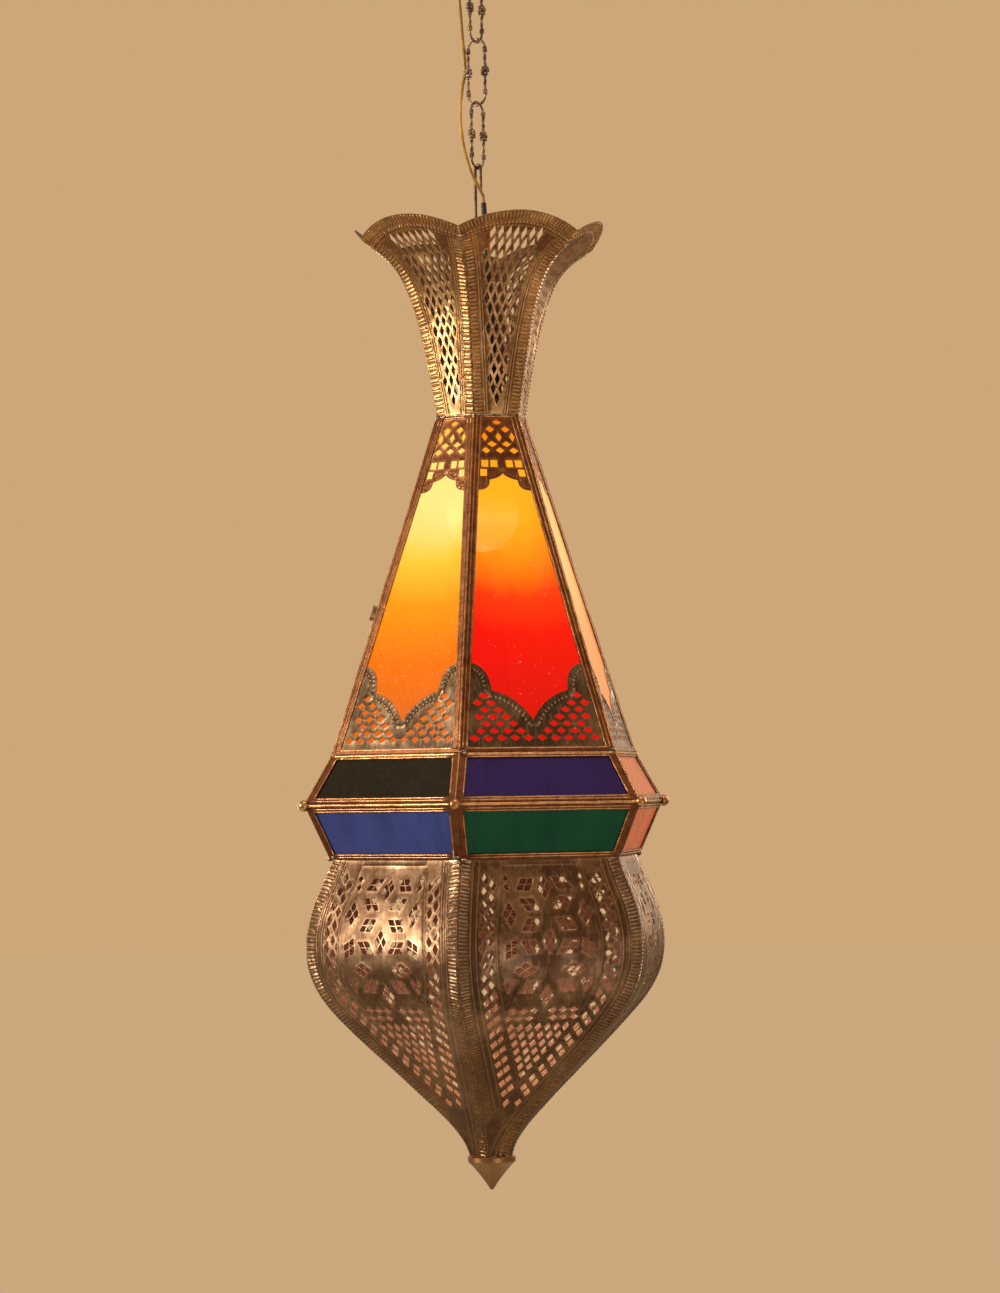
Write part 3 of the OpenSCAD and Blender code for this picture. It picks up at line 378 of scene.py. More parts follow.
class Band:
    """Relief at set distances from a line of the sheet, on the side that inward says, 1 left or -1 right.

    ribs hold their start, end, pitch and height, lines their distance, half width and height, and beads their
    distance, radius, pitch and height.
    """

    def __init__(self, line, inward, ribs=None, lines=(), beads=(), blend=0.5):
        self.line, self.inward = np.array(line, float), inward
        self.ribs, self.lines, self.beads, self.blend = ribs, lines, beads, blend
        self.seg, self.run = runs(self.line)

    def near(self, p):
        """Distance from the line and place along it, for each point."""
        best, place = np.full(len(p), 1e9), np.zeros(len(p))
        for i, (a, b) in enumerate(zip(self.line[:-1], self.line[1:])):
            if self.seg[i] < 1e-9:
                continue
            d = (b - a) / self.seg[i]
            t = np.clip((p - a) @ d, 0, self.seg[i])
            gap = np.hypot(*(p - a - t[:, None] * d).T)
            hit = gap < best
            best[hit], place[hit] = gap[hit], self.run[i] + t[hit]
        return best, place

    def reach(self):
        """Distance at which the relief has ended."""
        ends = [at + wide for at, wide, *_ in (*self.lines, *self.beads)]
        return max(ends + [self.ribs[1]] if self.ribs else ends) + 0.6

    def relief(self, p):
        """Height of the relief and distance from the line, for each point."""
        far, place = self.near(p)
        h = np.zeros(len(p))
        if self.ribs:
            start, end, pitch, high = self.ribs
            window = np.clip((far - start) / self.blend, 0, 1) * np.clip((end - far) / self.blend, 0, 1)
            h += high * window * (0.5 + 0.5 * np.cos(tau * place / pitch)) ** 1.5
        for at, width, high in self.lines:
            h = np.maximum(h, high * np.cos(np.clip((far - at) / width, -1, 1) * pi / 2))
        for at, radius, pitch, high in self.beads:
            along = (place / pitch - np.round(place / pitch)) * pitch
            q = 1 - ((far - at) ** 2 + along**2) / radius**2
            h = np.maximum(h, high * np.sqrt(np.clip(q, 0, 1)))
        return h, far

    def points(self, step=0.62):
        """Mesh points beside the line, close where the relief is fine."""
        fine, coarse = set(), {at + w * k / 2 for at, w, _ in self.lines for k in range(-2, 3)}
        if self.ribs:
            start, end = self.ribs[:2]
            fine |= {start, end, *np.linspace(start + self.blend, end - self.blend, 4)}
        fine |= {at + r * k / 2 for at, r, _, _ in self.beads for k in range(-2, 3)}
        out = []
        for group, gap in ((fine, step), (coarse, step * 3)):
            n = max(2, int(self.run[-1] / gap))
            for o in sorted(o for o in group if o > 0.3):
                for i in range(n + 1):
                    s = self.run[-1] * i / n
                    j = min(np.searchsorted(self.run, s, side="right") - 1, len(self.seg) - 1)
                    d = (self.line[j + 1] - self.line[j]) / max(self.seg[j], 1e-9)
                    q = self.line[j] + d * (s - self.run[j])
                    out.append((q[0] - d[1] * o * self.inward, q[1] + d[0] * o * self.inward))
        return out


def inside(polygon, p):
    """Which points lie in the polygon."""
    x, y = p[:, 0], p[:, 1]
    odd = np.zeros(len(p), bool)
    for (ax, ay), (bx, by) in zip(polygon, np.roll(polygon, -1, axis=0)):
        if ay == by:
            continue
        cross = (ay > y) != (by > y)
        odd ^= cross & (x < (bx - ax) * (y - ay) / (by - ay) + ax)
    return odd


def dense(line, step):
    """The same line with points no further apart than the step."""
    out = []
    for a, b in zip(line[:-1], line[1:]):
        a, b = np.array(a, float), np.array(b, float)
        n = max(1, int(ceil(np.linalg.norm(b - a) / step)))
        out += [a + (b - a) * i / n for i in range(n)]
    return out + [np.array(line[-1], float)]


# How much of the relief's height stands up, how deep a sheet lies in its solid, and below the solid's face
RELIEF, SINK, SEAT = 0.8, 0.75, 0.3
# Room for a mesh point beside the relief and on plain sheet, and the cells that sort them
FINE_GAP, PLAIN_GAP, CELL = 0.33, 0.49, 0.5


class Sheet:
    """A flat pattern with holes and relief, triangulated once and laid on any surface."""

    def __init__(self, outline, holes, bands, grid=3.2):
        outline, taken = np.array(outline, float), {}

        def room(q, gap):
            """Takes the point's place, if no other point is nearer than the gap."""
            i, j = int(q[0] // CELL), int(q[1] // CELL)
            for key in ((i + a, j + b) for a in (-1, 0, 1) for b in (-1, 0, 1)):
                if any((q[0] - o[0]) ** 2 + (q[1] - o[1]) ** 2 < gap * gap for o in taken.get(key, ())):
                    return False
            taken.setdefault((i, j), []).append((float(q[0]), float(q[1])))
            return True

        for q in (q for ring in (outline, *holes) for q in ring):
            room(q, 0)
        low, high = outline.min(axis=0), outline.max(axis=0)
        nx, ny = (int(v) for v in (high - low) / grid)
        plain = [(low[0] + (i + 0.5 * (j % 2)) * grid, low[1] + j * grid)
                 for i in range(nx + 1) for j in range(ny + 1)]
        free = []
        for points, gap in (([q for band in bands for q in band.points()], FINE_GAP), (plain, PLAIN_GAP)):
            points = np.array(points)
            free += [q for q in points[inside(outline, points)] if room(q, gap)]
        verts, faces = list(outline), [list(range(len(outline)))]
        for hole in holes:
            faces.append(list(range(len(verts), len(verts) + len(hole))))
            verts += hole
        verts = [Vector((float(q[0]), float(q[1]))) for q in verts + free]
        co, _, tris, _, _, origin = delaunay_2d_cdt(verts, [], faces, 1, 1e-5)
        keep = [t for t, o in zip(tris, origin) if set(o) == {0}]
        used = sorted({i for t in keep for i in t})
        index = {v: i for i, v in enumerate(used)}
        self.flat, self.tris = np.array([co[i] for i in used], float), []
        for t in keep:
            a, b, c = (co[i] for i in t)
            turn = (b[0] - a[0]) * (c[1] - a[1]) - (b[1] - a[1]) * (c[0] - a[0])
            self.tris.append([index[i] for i in t][::1 if turn > 0 else -1])
        edges = dict.fromkeys((t[i], t[(i + 1) % 3]) for t in self.tris for i in range(3))
        self.rim = [e for e in edges if (e[1], e[0]) not in edges]
        self.height, left = np.zeros(len(self.flat)), np.ones(len(self.flat))
        for band in bands:
            part, far = band.relief(self.flat)
            self.height += left * part
            left *= 1 - np.clip((band.reach() - far) / 0.8, 0, 1)

    def lay(self, name, form, k, lift, thick, surface, seed, dents, burr, flip=False):
        """Lays the sheet on face k of a form, at the given height above it."""
        top, low, shine = [], [], []
        cut, crest, way = {i for e in self.rim for i in e}, self.height.max(), -1 if flip else 1
        for i, ((x, s), h) in enumerate(zip(self.flat, self.height)):
            h += burr if i in cut else 0.0
            slow = dents * noise.noise(Vector((x * 0.028, s * 0.028, seed * 5.3)))
            slow += dents * 0.3 * noise.noise(Vector((x * 0.11, s * 0.11, seed * 2.1)))
            rise = h * RELIEF - SINK + slow - SEAT
            top.append(form.place(k, x, s, lift + rise))
            low.append(form.place(k, x, s, lift + (rise - thick)))
            # Vertices on the cut rims of the holes get a painted highlight: their relief value is lifted to at
            # least 0.6 of the crest, so the sheet's shader draws them bright.
            shine.append(max(h, 0.6 * crest) if i in cut else h)
        n, high = len(top), max(*shine, 1e-6)
        faces = [t[::way] for t in self.tris]
        faces += [[n + i for i in t[::-1]] for t in faces]
        faces += [[a, n + a, n + b, b][::way] for a, b in self.rim]
        obj = new_object(name, top + low, faces, surface)
        # The relief attribute carries the chased relief and the painted highlight of the hole rims.
        for key, values in (("relief", [min(1.0, v / high) for v in shine] * 2), ("inner", [0.0] * n + [1.0] * n)):
            obj.data.attributes.new(key, "FLOAT", "POINT").data.foreach_set("value", values)
        tex = obj.data.uv_layers.new(name="UVMap")
        flat = [(x * 0.01, s * 0.01) for x, s in self.flat] * 2
        for loop in obj.data.loops:
            tex.data[loop.index].uv = flat[loop.vertex_index]
        sharp_edges(obj.data, 50)
        return obj


def sharp_edges(mesh, degrees):
    """Keeps cut edges crisp and the rest smooth."""
    bm = bmesh.new()
    bm.from_mesh(mesh)
    limit = radians(degrees)
    for e in bm.edges:
        e.smooth = not (len(e.link_faces) == 2 and e.calc_face_angle(0) > limit)
    bm.to_mesh(mesh)
    bm.free()


def diamond(c, w, h, rnd, wander, turn=0.0):
    """A four-cornered hole with slightly eased corners, wandering as hand work does."""
    ct, st = cos(radians(turn)), sin(radians(turn))
    if wander:
        c = (c[0] + rnd.gauss(0, wander * 0.6), c[1] + rnd.gauss(0, wander * 0.6))
        w, h = w * rnd.uniform(0.92, 1.06), h * rnd.uniform(0.93, 1.06)
    out = []
    for a, b in ((radians(90 * i), radians(90 * (i + 1))) for i in range(4)):
        p, q = ((cos(v) * w / 2, sin(v) * h / 2) for v in (a, b))
        for t in (0.1, 0.9):
            x, y = p[0] + (q[0] - p[0]) * t, p[1] + (q[1] - p[1]) * t
            out.append((c[0] + x * ct - y * st, c[1] + x * st + y * ct))
    return out


# ---- surfaces of the faces
class Bent:
    """One face of the hexagon, bent along a profile: x runs along the face, s down or up the profile."""

    def __init__(self, line):
        self.line = np.array(line, float)
        self.run = runs(self.line)[1]
        d = np.gradient(self.line, axis=0)
        d /= np.hypot(d[:, 0], d[:, 1])[:, None]
        self.out = np.stack([np.abs(d[:, 1]), -d[:, 0] * np.sign(d[:, 1])], axis=1)

    def flat(self, s):
        return np.interp(s, self.run, self.line[:, 0])

    def half(self, s):
        return (self.flat(s) - 0.2) * TAN

    def side(self, sign, low, high, step=1.5):
        """The line along one mitre of the face."""
        n = int((high - low) / step)
        return [(sign * self.half(s), s) for s in (low + (high - low) * i / n for i in range(n + 1))]

    def place(self, k, x, s, h):
        """The point of face k, h above the sheet; edges keep to the mitre between the faces."""
        nx, nz = (np.interp(s, self.run, self.out[:, i]) for i in (0, 1))
        r, z = self.flat(s) + nx * h, np.interp(s, self.run, self.line[:, 1]) + nz * h
        edge = max(0.0, 1 - (self.half(s) - abs(x)) / 4.0)
        return turned((r, x * (1 + edge * nx * h * TAN / max(abs(x), 1.0)), z), 60 * k)


class Slope:
    """One flat leaning face: a runs along it, y up it, c outwards."""

    def __init__(self, low, high):
        self.low, self.high = low, high
        self.t = atan2(high[0] - low[0], high[1] - low[1])
        self.len = hypot(high[0] - low[0], high[1] - low[1])
        self.halves = (low[0] * TAN, high[0] * TAN)

    def half(self, y, border=0.0):
        lean = (self.halves[0] - self.halves[1]) / self.len
        return self.halves[0] - lean * y - border * sqrt(1 + lean * lean)

    def flat(self, y, c):
        """Distance of the face from the axis, c above it."""
        return self.low[0] + c * cos(self.t) + y * sin(self.t)

    def place(self, k, a, y, c):
        z = self.low[1] - c * sin(self.t) + y * cos(self.t)
        return turned((self.flat(y, c), a, z), 60 * k)


CONE = Slope((FLAT * CONE_CORNER - CAME_T, Z_CONE), (FLAT * NECK_CORNER - CAME_T, Z_NECK - 0.2))
UPPER = Slope((FLAT * RIDGE_CORNER - CAME_T, Z_RIDGE), (CONE.low[0], Z_CONE - 0.24 * CAME_T))
LOWER = Slope((FLAT * FOOT_CORNER - CAME_T, Z_FOOT), UPPER.low)
# Profiles as shares of the height and of the corner radius
CROWN_SHARES = [[0, 0], [0.2, 0.08], [0.43, 0.186], [0.6, 0.29], [0.72, 0.39], [0.81, 0.5],
                [0.88, 0.64], [0.94, 0.82], [1, 1], [1.09, 1.24]]
ONION_SHARES = [[0, 0.121], [0.05, 0.155], [0.12, 0.243], [0.24, 0.438], [0.35, 0.627], [0.45, 0.792],
                [0.52, 0.892], [0.58, 0.953], [0.64, 0.988], [0.7, 1], [0.77, 0.992], [0.85, 0.957],
                [0.93, 0.9], [1, 0.853]]
CROWN = Bent([(FLAT * (NECK_R + (CROWN_R - NECK_R) * wide), Z_NECK + CROWN_H * high)
              for high, wide in spline(CROWN_SHARES, 5)])
ONION = Bent([(FLAT * ONION_R * wide, Z_ONION + ONION_H * high) for high, wide in spline(ONION_SHARES, 5)][::-1])


# ---- finishes
def shaded(colour, *factors):
    """The colour times one factor, or times one factor for each channel."""
    return tuple(c * f for c, f in zip(colour, factors * 3 if len(factors) == 1 else factors))


def brass_sheet(name, tone, dark, back, rough, low=None, flat=0.38, edge=0.0):
    """Aged chased sheet: bright on the raised work and, as a painted highlight, along the rims of the holes; brown
    in the hollows, dull on its back, with tarnish.

    low holds the tone of the foot, darker as a painted shade, and the back's colour of the foot, paler as painted
    lamplight inside, and the heights where they begin and are full; flat says how bright the sheet is beside the
    raised work, and edge how high work has to be to shine.
    """
    m = Surface(name)
    relief, inner = m.attribute("relief"), m.attribute("inner")
    bloom, spots = m.noise(24, 5, 0.62), m.noise(170, 4, 0.65)
    scratch = m.noise(520, 2, 0.5, (1.0, 1.0, 0.06))
    if low:
        # Towards the foot the front tone turns darker, a painted shade for the darker reflection below, and the
        # back turns paler, painted lamplight on the inside.
        down = (m.height() + bloom * 0.02).step(low[3], low[2], 1.0, 0.0)
        tone, back = m.mix(down, tone, low[0]), m.mix(down, back, low[1])
    # The relief attribute also holds the painted highlight of the hole rims, so this mask is wear on the raised
    # work and in patches plus that painted highlight.
    raised = (relief - edge).clamp() * (0.7 / (1 - edge))
    wear_and_painted_rim_highlight = (raised + bloom.step(0.42, 0.68, 0, flat) + scratch.step(0.48, 0.74, 0, 0.2)).clamp()
    colour = m.mix(wear_and_painted_rim_highlight, dark, m.mix(spots.step(0.35, 0.6, 0, 0.25), tone, shaded(dark, 1.6)))
    colour = m.mix(spots.step(0.6, 0.74, 0, 0.6), colour, shaded(dark, 0.4))
    colour = m.mix(inner, colour, m.mix(bloom.step(0.3, 0.7, 0.0, 0.3), back, dark))
    smooth = rough + bloom.step(0.3, 0.7, 0.12, -0.06) + spots * 0.1 - relief * 0.1
    m.set(Base_Color=colour, Metallic=0.94 - inner * 0.7, Roughness=(smooth + inner * 0.3).clamp())
    return m.bump(bloom * 0.35 + spots * 0.3 + scratch * 0.35, 0.4, 0.0004)


def came_metal(name, tone, dark, rough):
    """Soldered came: red-brown bronze with drawn lines, dark grime in specks and rubbed copper places."""
    m = Surface(name, metal=0.95)
    drawn, rub = m.noise(900, 2, 0.5, (1, 1, 0.05)), m.noise(14, 2, 0.5)
    bloom, grime = m.noise(160, 5, 0.65), m.noise(420, 4, 0.65)
    colour = m.mix((bloom.step(0.3, 0.7) * 0.6 + rub.step(0.3, 0.7, 0, 0.4)).clamp(), dark, tone)
    colour = m.mix(grime.step(0.6, 0.74, 0, 0.5), colour, shaded(dark, 0.4))
    m.set(Base_Color=colour, Roughness=(rough + grime * 0.2 - bloom * 0.12).clamp())
    return m.bump(drawn * 0.5 + grime * 0.5, 0.3, 0.0003)


def wiped_solder(name):
    """Solder wiped by hand: brown-silvery, bright where it ran smooth."""
    m = Surface(name, metal=1.0)
    n = m.noise(330, 4, 0.6)
    m.set(Base_Color=m.mix(n.step(0.35, 0.7), (0.13, 0.095, 0.07), (0.56, 0.46, 0.35)), Roughness=n * 0.4 + 0.12)
    return m.bump(n, 0.5, 0.0004)


def wire_metal(name, tone, dark):
    """Bare wire and rod with old handling marks."""
    m = Surface(name, metal=0.95)
    n, fine = m.noise(90, 4, 0.6), m.noise(700, 3, 0.6)
    m.set(Base_Color=m.mix((n * 0.7 + fine * 0.3).step(0.38, 0.62), dark, tone), Roughness=fine * 0.3 + 0.22)
    return m.bump(fine, 0.35, 0.0002)


def moulded_plastic(name, tone, rough):
    """Moulded plastic or rubber with a fine grain and a slow change of tone."""
    m = Surface(name)
    grain, slow = m.noise(600, 3, 0.6), m.noise(40, 3, 0.5)
    m.set(Base_Color=m.mix(slow, shaded(tone, 0.8), shaded(tone, 1.15)),
          Roughness=(grain * 0.2 + (rough - 0.1)).clamp())
    return m.bump(grain, 0.2, 0.0002)


def flex_jacket(name, dark, bright):
    """Jacket of the flex: ochre with handling marks along it."""
    m = Surface(name)
    slow, fine = m.noise(60, 4, 0.6), m.noise(800, 2, 0.5, (1, 1, 0.2))
    colour = m.mix(slow.step(0.35, 0.7), dark, bright)
    colour = m.mix(fine.step(0.6, 0.75, 0, 0.4), colour, shaded(dark, 0.45))
    m.set(Base_Color=colour, Roughness=(slow * 0.25 + 0.3).clamp(), Coat_Weight=0.15)
    return m.bump(slow * 0.6 + fine * 0.4, 0.25, 0.0003)


def glass_with_painted_glow(name, deep, glow, alpha, settings):
    """Coloured sheet glass before the lamp: streaks, seeds, scratches, and a painted glow, emission that falls off
    with distance from the lamp.
    """
    m = Surface(name)
    streak, seed = m.noise(26, 4, 0.6, (1, 1, 0.2)), m.noise(330, 2, 0.5)
    scratch = m.noise(700, 1, 0.4, (0.1, 1, 0.6))
    # The emission is painted light: near white by the lamp, deeper farther off, with seeds darker and scratches
    # bright in it.
    far = (m.distance_to(shaded(LAMP, MM)) + streak * 0.02 - 0.01) * (1 / settings.reach)
    shine = m.node("ShaderNodeValToRGB", {"stops": [*glow, (1.0, deep)]}, {"Fac": far})
    shine = m.mix(seed.step(0.68, 0.8, 0, 0.3), shine, shaded(deep, 0.6))
    shine = m.mix(scratch.step(0.72, 0.8, 0, 0.2), shine, (1.0, 0.7, 0.3))
    m.set(Base_Color=m.mix(streak, shaded(deep, 0.2), shaded(deep, 0.3)), Emission_Color=shine,
          Emission_Strength=settings.glow, Alpha=(streak * 0.08 + (alpha - 0.04)).clamp(),
          Roughness=(scratch.step(0.6, 0.8, 0.0, 0.3) + seed * 0.1 + 0.06).clamp(), IOR=1.35)
    return m.bump(streak * 0.6 + seed * 0.2 + scratch * 0.2, 0.15, 0.0004)


def dark_glass(name, light, alpha, inner=(0, 0, 0)):
    """Coloured sheet glass away from the lamp: nearly closed, with a grain, dust and fine scratches; inner is a
    painted glow given as emission.
    """
    m = Surface(name)
    streak, grain = m.noise(40, 4, 0.6, (1, 1, 0.3)), m.noise(900, 3, 0.6)
    dust, scratch = m.noise(240, 4, 0.7), m.noise(800, 1, 0.4, (0.15, 1, 1))
    colour = m.mix((streak * 0.6 + grain * 0.4).step(0.35, 0.65), shaded(light, 0.68), light)
    colour = m.mix(dust.step(0.62, 0.78, 0, 0.3), colour, tuple(c * 1.5 + 0.015 for c in light))
    colour = m.mix(scratch.step(0.74, 0.8, 0, 0.5), colour, tuple(c * 1.6 + 0.04 for c in light))
    m.set(Base_Color=colour, Emission_Color=inner, Emission_Strength=1.0, Alpha=alpha,
          Roughness=(dust.step(0.5, 0.75, 0.0, 0.25) + grain * 0.1 + 0.2).clamp(), IOR=1.25)
    return m.bump(streak * 0.5 + grain * 0.5, 0.15, 0.0003)


def opal_lamp(name):
    """Opal bulb, lit: white in a band at its middle, where the filament is, and amber towards its ends."""
    m = Surface(name)
    away = m.height() - (LAMP[2] - 3.0) * MM
    away = away.math("ABSOLUTE", away) * (1 / 0.026)
    stops = [(0.0, (1.0, 0.80, 0.45)), (0.3, (0.62, 0.44, 0.17)), (0.75, (0.15, 0.075, 0.010)),
             (1.0, (0.10, 0.045, 0.004))]
    shine = m.node("ShaderNodeValToRGB", {"stops": stops}, {"Fac": away})
    m.set(Base_Color=m.mix(m.noise(50, 2, 0.5), (1.0, 0.86, 0.62), (1.0, 0.93, 0.76)), Roughness=0.2,
          Emission_Color=shine, Emission_Strength=9.0)
    return m


def pale_floor(name, backdrop):
    """Plain pale floor with a very slow change of tone, as light to the eye as the background."""
    m = Surface(name)
    seen = m.node("ShaderNodeLightPath", out="Is Camera Ray")
    return m.set(Base_Color=m.mix(m.noise(3.0, 4, 0.5), (0.72, 0.62, 0.49), (0.75, 0.65, 0.52)), Roughness=0.85,
                 Emission_Color=m.mix(seen, (0.0, 0.0, 0.0), shaded(backdrop, 0.5)), Emission_Strength=1.0)


FINISH = {}
# Colours of the lit panes' painted glow at shares of its reach from the lamp
AMBER_GLOW = [(0.26, (1.0, 0.84, 0.25)), (0.36, (1.0, 0.60, 0.04)), (0.5, (0.97, 0.32, 0.003)),
              (0.72, (0.84, 0.16, 0.0005))]
RED_GLOW = [(0.26, (1.0, 0.46, 0.01)), (0.36, (1.0, 0.26, 0.003)), (0.48, (0.97, 0.04, 0.001)),
            (0.62, (0.88, 0.003, 0.0005))]
SALMON_GLOW = [(0.30, (0.95, 0.50, 0.17)), (0.6, (0.8, 0.28, 0.09))]


def make_finishes(sc):
    """Makes every finish from the settings."""
    flex, chain, sheet, came, g = (
        getattr(sc, "lantern_" + name) for name in ("flex", "chain", "sheet", "came", "glass"))
    FINISH.update(
        petal=brass_sheet("crown_brass", sheet.crown, (0.15, 0.068, 0.028), (0.10, 0.032, 0.014), 0.3),
        # The onion's foot gets a darker front tone as painted shade and a pale back as painted lamplight inside.
        gore=brass_sheet("onion_brass", sheet.onion, (0.085, 0.045, 0.025), (0.19, 0.09, 0.06), 0.33,
                         (shaded(sheet.onion, 0.62, 0.55, 0.38), (0.66, 0.44, 0.31), -0.76, -0.84)),
        tracery=brass_sheet("foot_tracery_brass", sheet.foot, (0.075, 0.047, 0.029), (0.2, 0.12, 0.07),
                            0.38, flat=0.25, edge=0.4),
        head=brass_sheet("head_tracery_brass", sheet.head, (0.12, 0.042, 0.018), (0.2, 0.1, 0.05), 0.34),
        cover=brass_sheet("cover_brass", (0.45, 0.28, 0.13), (0.2, 0.11, 0.05), (0.2, 0.11, 0.05), 0.3),
        came=came_metal("came_bronze", came.bronze, shaded(came.bronze, 0.29), 0.34),
        rod=came_metal("came_rod_copper", came.copper, shaded(came.copper, 0.32, 0.24, 0.21), 0.22),
        solder=wiped_solder("wiped_solder"),
        chain=wire_metal("chain_wire", chain.iron, shaded(chain.iron, 0.26)),
        hook=wire_metal("hook_rod", chain.hook, shaded(chain.hook, 0.35)),
        plated=wire_metal("plated_steel", (0.62, 0.58, 0.5), (0.3, 0.26, 0.21)),
        black=moulded_plastic("black_plastic", (0.012, 0.011, 0.011), 0.4),
        sleeve=moulded_plastic("sleeve_rubber", (0.02, 0.014, 0.012), 0.55),
        flex=flex_jacket("flex_jacket", flex.dark, flex.bright),
        lamp=opal_lamp("opal_lamp"),
        amber=glass_with_painted_glow("amber_glass", g.amber, AMBER_GLOW, 0.9, g),
        red=glass_with_painted_glow("red_glass", g.red, RED_GLOW, 0.9, g),
        salmon=glass_with_painted_glow("salmon_glass", g.salmon, SALMON_GLOW, 0.88, g),
        # The rose panes get a faint painted glow as emission, standing in for the lamp's light through them.
        rose=dark_glass("rose_glass", g.rose, 0.9, (0.16, 0.035, 0.015)),
        olive=dark_glass("olive_glass", g.olive, 0.97),
        violet=dark_glass("violet_glass", g.violet, 0.97),
        blue=dark_glass("blue_glass", g.blue, 0.96),
        green=dark_glass("green_glass", g.green, 0.96),
    )


# ---- camera and stage
# The photograph's width and focal length, and how far its middle is off the axis, in its pixels
WIDTH, FOCAL, ASIDE, ABOVE = 1000, 3895, 15.5, 140.5


class LANTERN_OT_camera(bpy.types.Operator):
    """The camera at the photograph's angle."""

    bl_idname, bl_label, bl_options = "lantern.camera", "Camera", {"REGISTER", "UNDO"}

    def execute(self, context):
        data = bpy.data.cameras.new("camera")
        data.sensor_fit, data.sensor_width, data.lens = "HORIZONTAL", 36.0, FOCAL * 36 / WIDTH
        data.clip_start, data.clip_end = 0.05, 100
        away, right = Vector((0.158, -0.987, 0)).normalized(), Vector((0.987, 0.158, 0)).normalized()
        cam = added("camera", data, away * 2.843 + Vector((0, 0, -0.636)))
        ahead = (-away + right * (ASIDE / FOCAL)).normalized()
        pitch, roll = atan(ABOVE / FOCAL), radians(-0.8)
        ahead = (ahead * cos(pitch) + Vector((0, 0, sin(pitch)))).normalized()
        turn = ahead.to_track_quat("-Z", "Y").to_matrix().to_4x4()
        cam.matrix_world = Matrix.Translation(cam.location) @ turn @ Matrix.Rotation(roll, 4, "Z")
        context.scene.camera = cam
        return {"FINISHED"}


class LANTERN_OT_stage(bpy.types.Operator):
    """Floor, background and soft studio light."""

    bl_idname, bl_label, bl_options = "lantern.stage", "Stage and lights", {"REGISTER", "UNDO"}

    def execute(self, context):
        sc, s = context.scene, context.scene.lantern_stage
        bm = bmesh.new()
        bmesh.ops.create_circle(bm, cap_ends=True, segments=96, radius=40.0)
        mesh = bpy.data.meshes.new("floor")
        bm.to_mesh(mesh)
        bm.free()
        mesh.materials.append(pale_floor("pale_floor", s.backdrop).data)
        added("floor", mesh, (0, 0, -2.4))
        world = Tree(bpy.data.worlds.new("studio"))
        sc.world = world.data
        rays = ("Is Camera Ray", "Is Glossy Ray", "Is Transmission Ray")
        seen = sum(world.node("ShaderNodeLightPath", out=ray) for ray in rays)
        around = world.node("ShaderNodeBackground", None, {"Color": s.around})
        backdrop = world.node("ShaderNodeBackground", None, {"Color": s.backdrop})
        mixed = world.node("ShaderNodeMixShader", None, {0: seen.clamp(), 1: around, 2: backdrop})
        world.node("ShaderNodeOutputWorld", None, {"Surface": mixed})
        for name, at, size, watts, colour in (
                ("key", (-2.4, -1.25, -0.1), (0.8, 1.5), s.key, (1.0, 0.88, 0.70)),
                ("fill", (1.9, -2.3, -1.3), (1.6, 1.6), s.fill, (1.0, 0.92, 0.82)),
                ("top", (0.3, -0.4, 1.5), (1.4, 1.4), s.fill * 1.2, (1.0, 0.96, 0.9)),
                ("rim", (1.6, 2.2, 0.2), (1.2, 1.6), s.back, (1.0, 0.90, 0.76)),
                ("back", (-1.5, 2.3, -0.3), (1.2, 1.6), s.back, (1.0, 0.88, 0.72)),
                ("lamp_light", (0, 0, -0.505), None, s.lamp, (1.0, 0.76, 0.52))):
            data = bpy.data.lights.new(name, "AREA" if size else "POINT")
            data.energy, data.color = watts, colour
            obj = added(name, data, at)
            if size:
                data.shape, data.size, data.size_y = "RECTANGLE", *size
                aim = Vector((0, 0, -0.6)) - Vector(at)
                obj.rotation_euler = aim.to_track_quat("-Z", "Y").to_euler()
            else:
                data.shadow_soft_size = 0.05
        sc.view_settings.view_transform = "Standard"
        return {"FINISHED"}


# ---- flex
# The sleeve's two ends, the flex's end at the ceiling, and its way between them
MOUTH, FOOT, END = np.array([4.4, -3.4, -208.3]), np.array([12, 0, -332.98 - 19.2]), np.array([-12, -7, -25.1])
FLEX_D = 2.6
ROUTE = [MOUTH + FLEX_D * (MOUTH - FOOT) / np.linalg.norm(MOUTH - FOOT), [4, -3.7, -203], [0.8, -5.6, -196],
         [-4.6, -7.8, -184], [-9, -6.8, -168], [-11.4, -4.4, -152], [-12, -1, -136], [-11.4, 4.4, -122],
         [-10.2, 8.8, -110], [-10.2, 7.4, -98], [-10.6, 2.8, -84], [-11, -1, -70], [-11.6, -4.4, -56],
         [-12, -6.4, -42], [-12, -7, -27.7], END]
# Each length's node, the steps where it begins and ends, and the bodies above and below
PARTS = [("flex_lower", 0, 10, "link_bottom", "lantern"), ("flex_middle", 10, 17, "link_middle", "link_bottom"),
         ("flex_upper", 17, 24, "link_top", "link_middle"), ("flex_top", 24, 32, "ceiling", "link_top")]


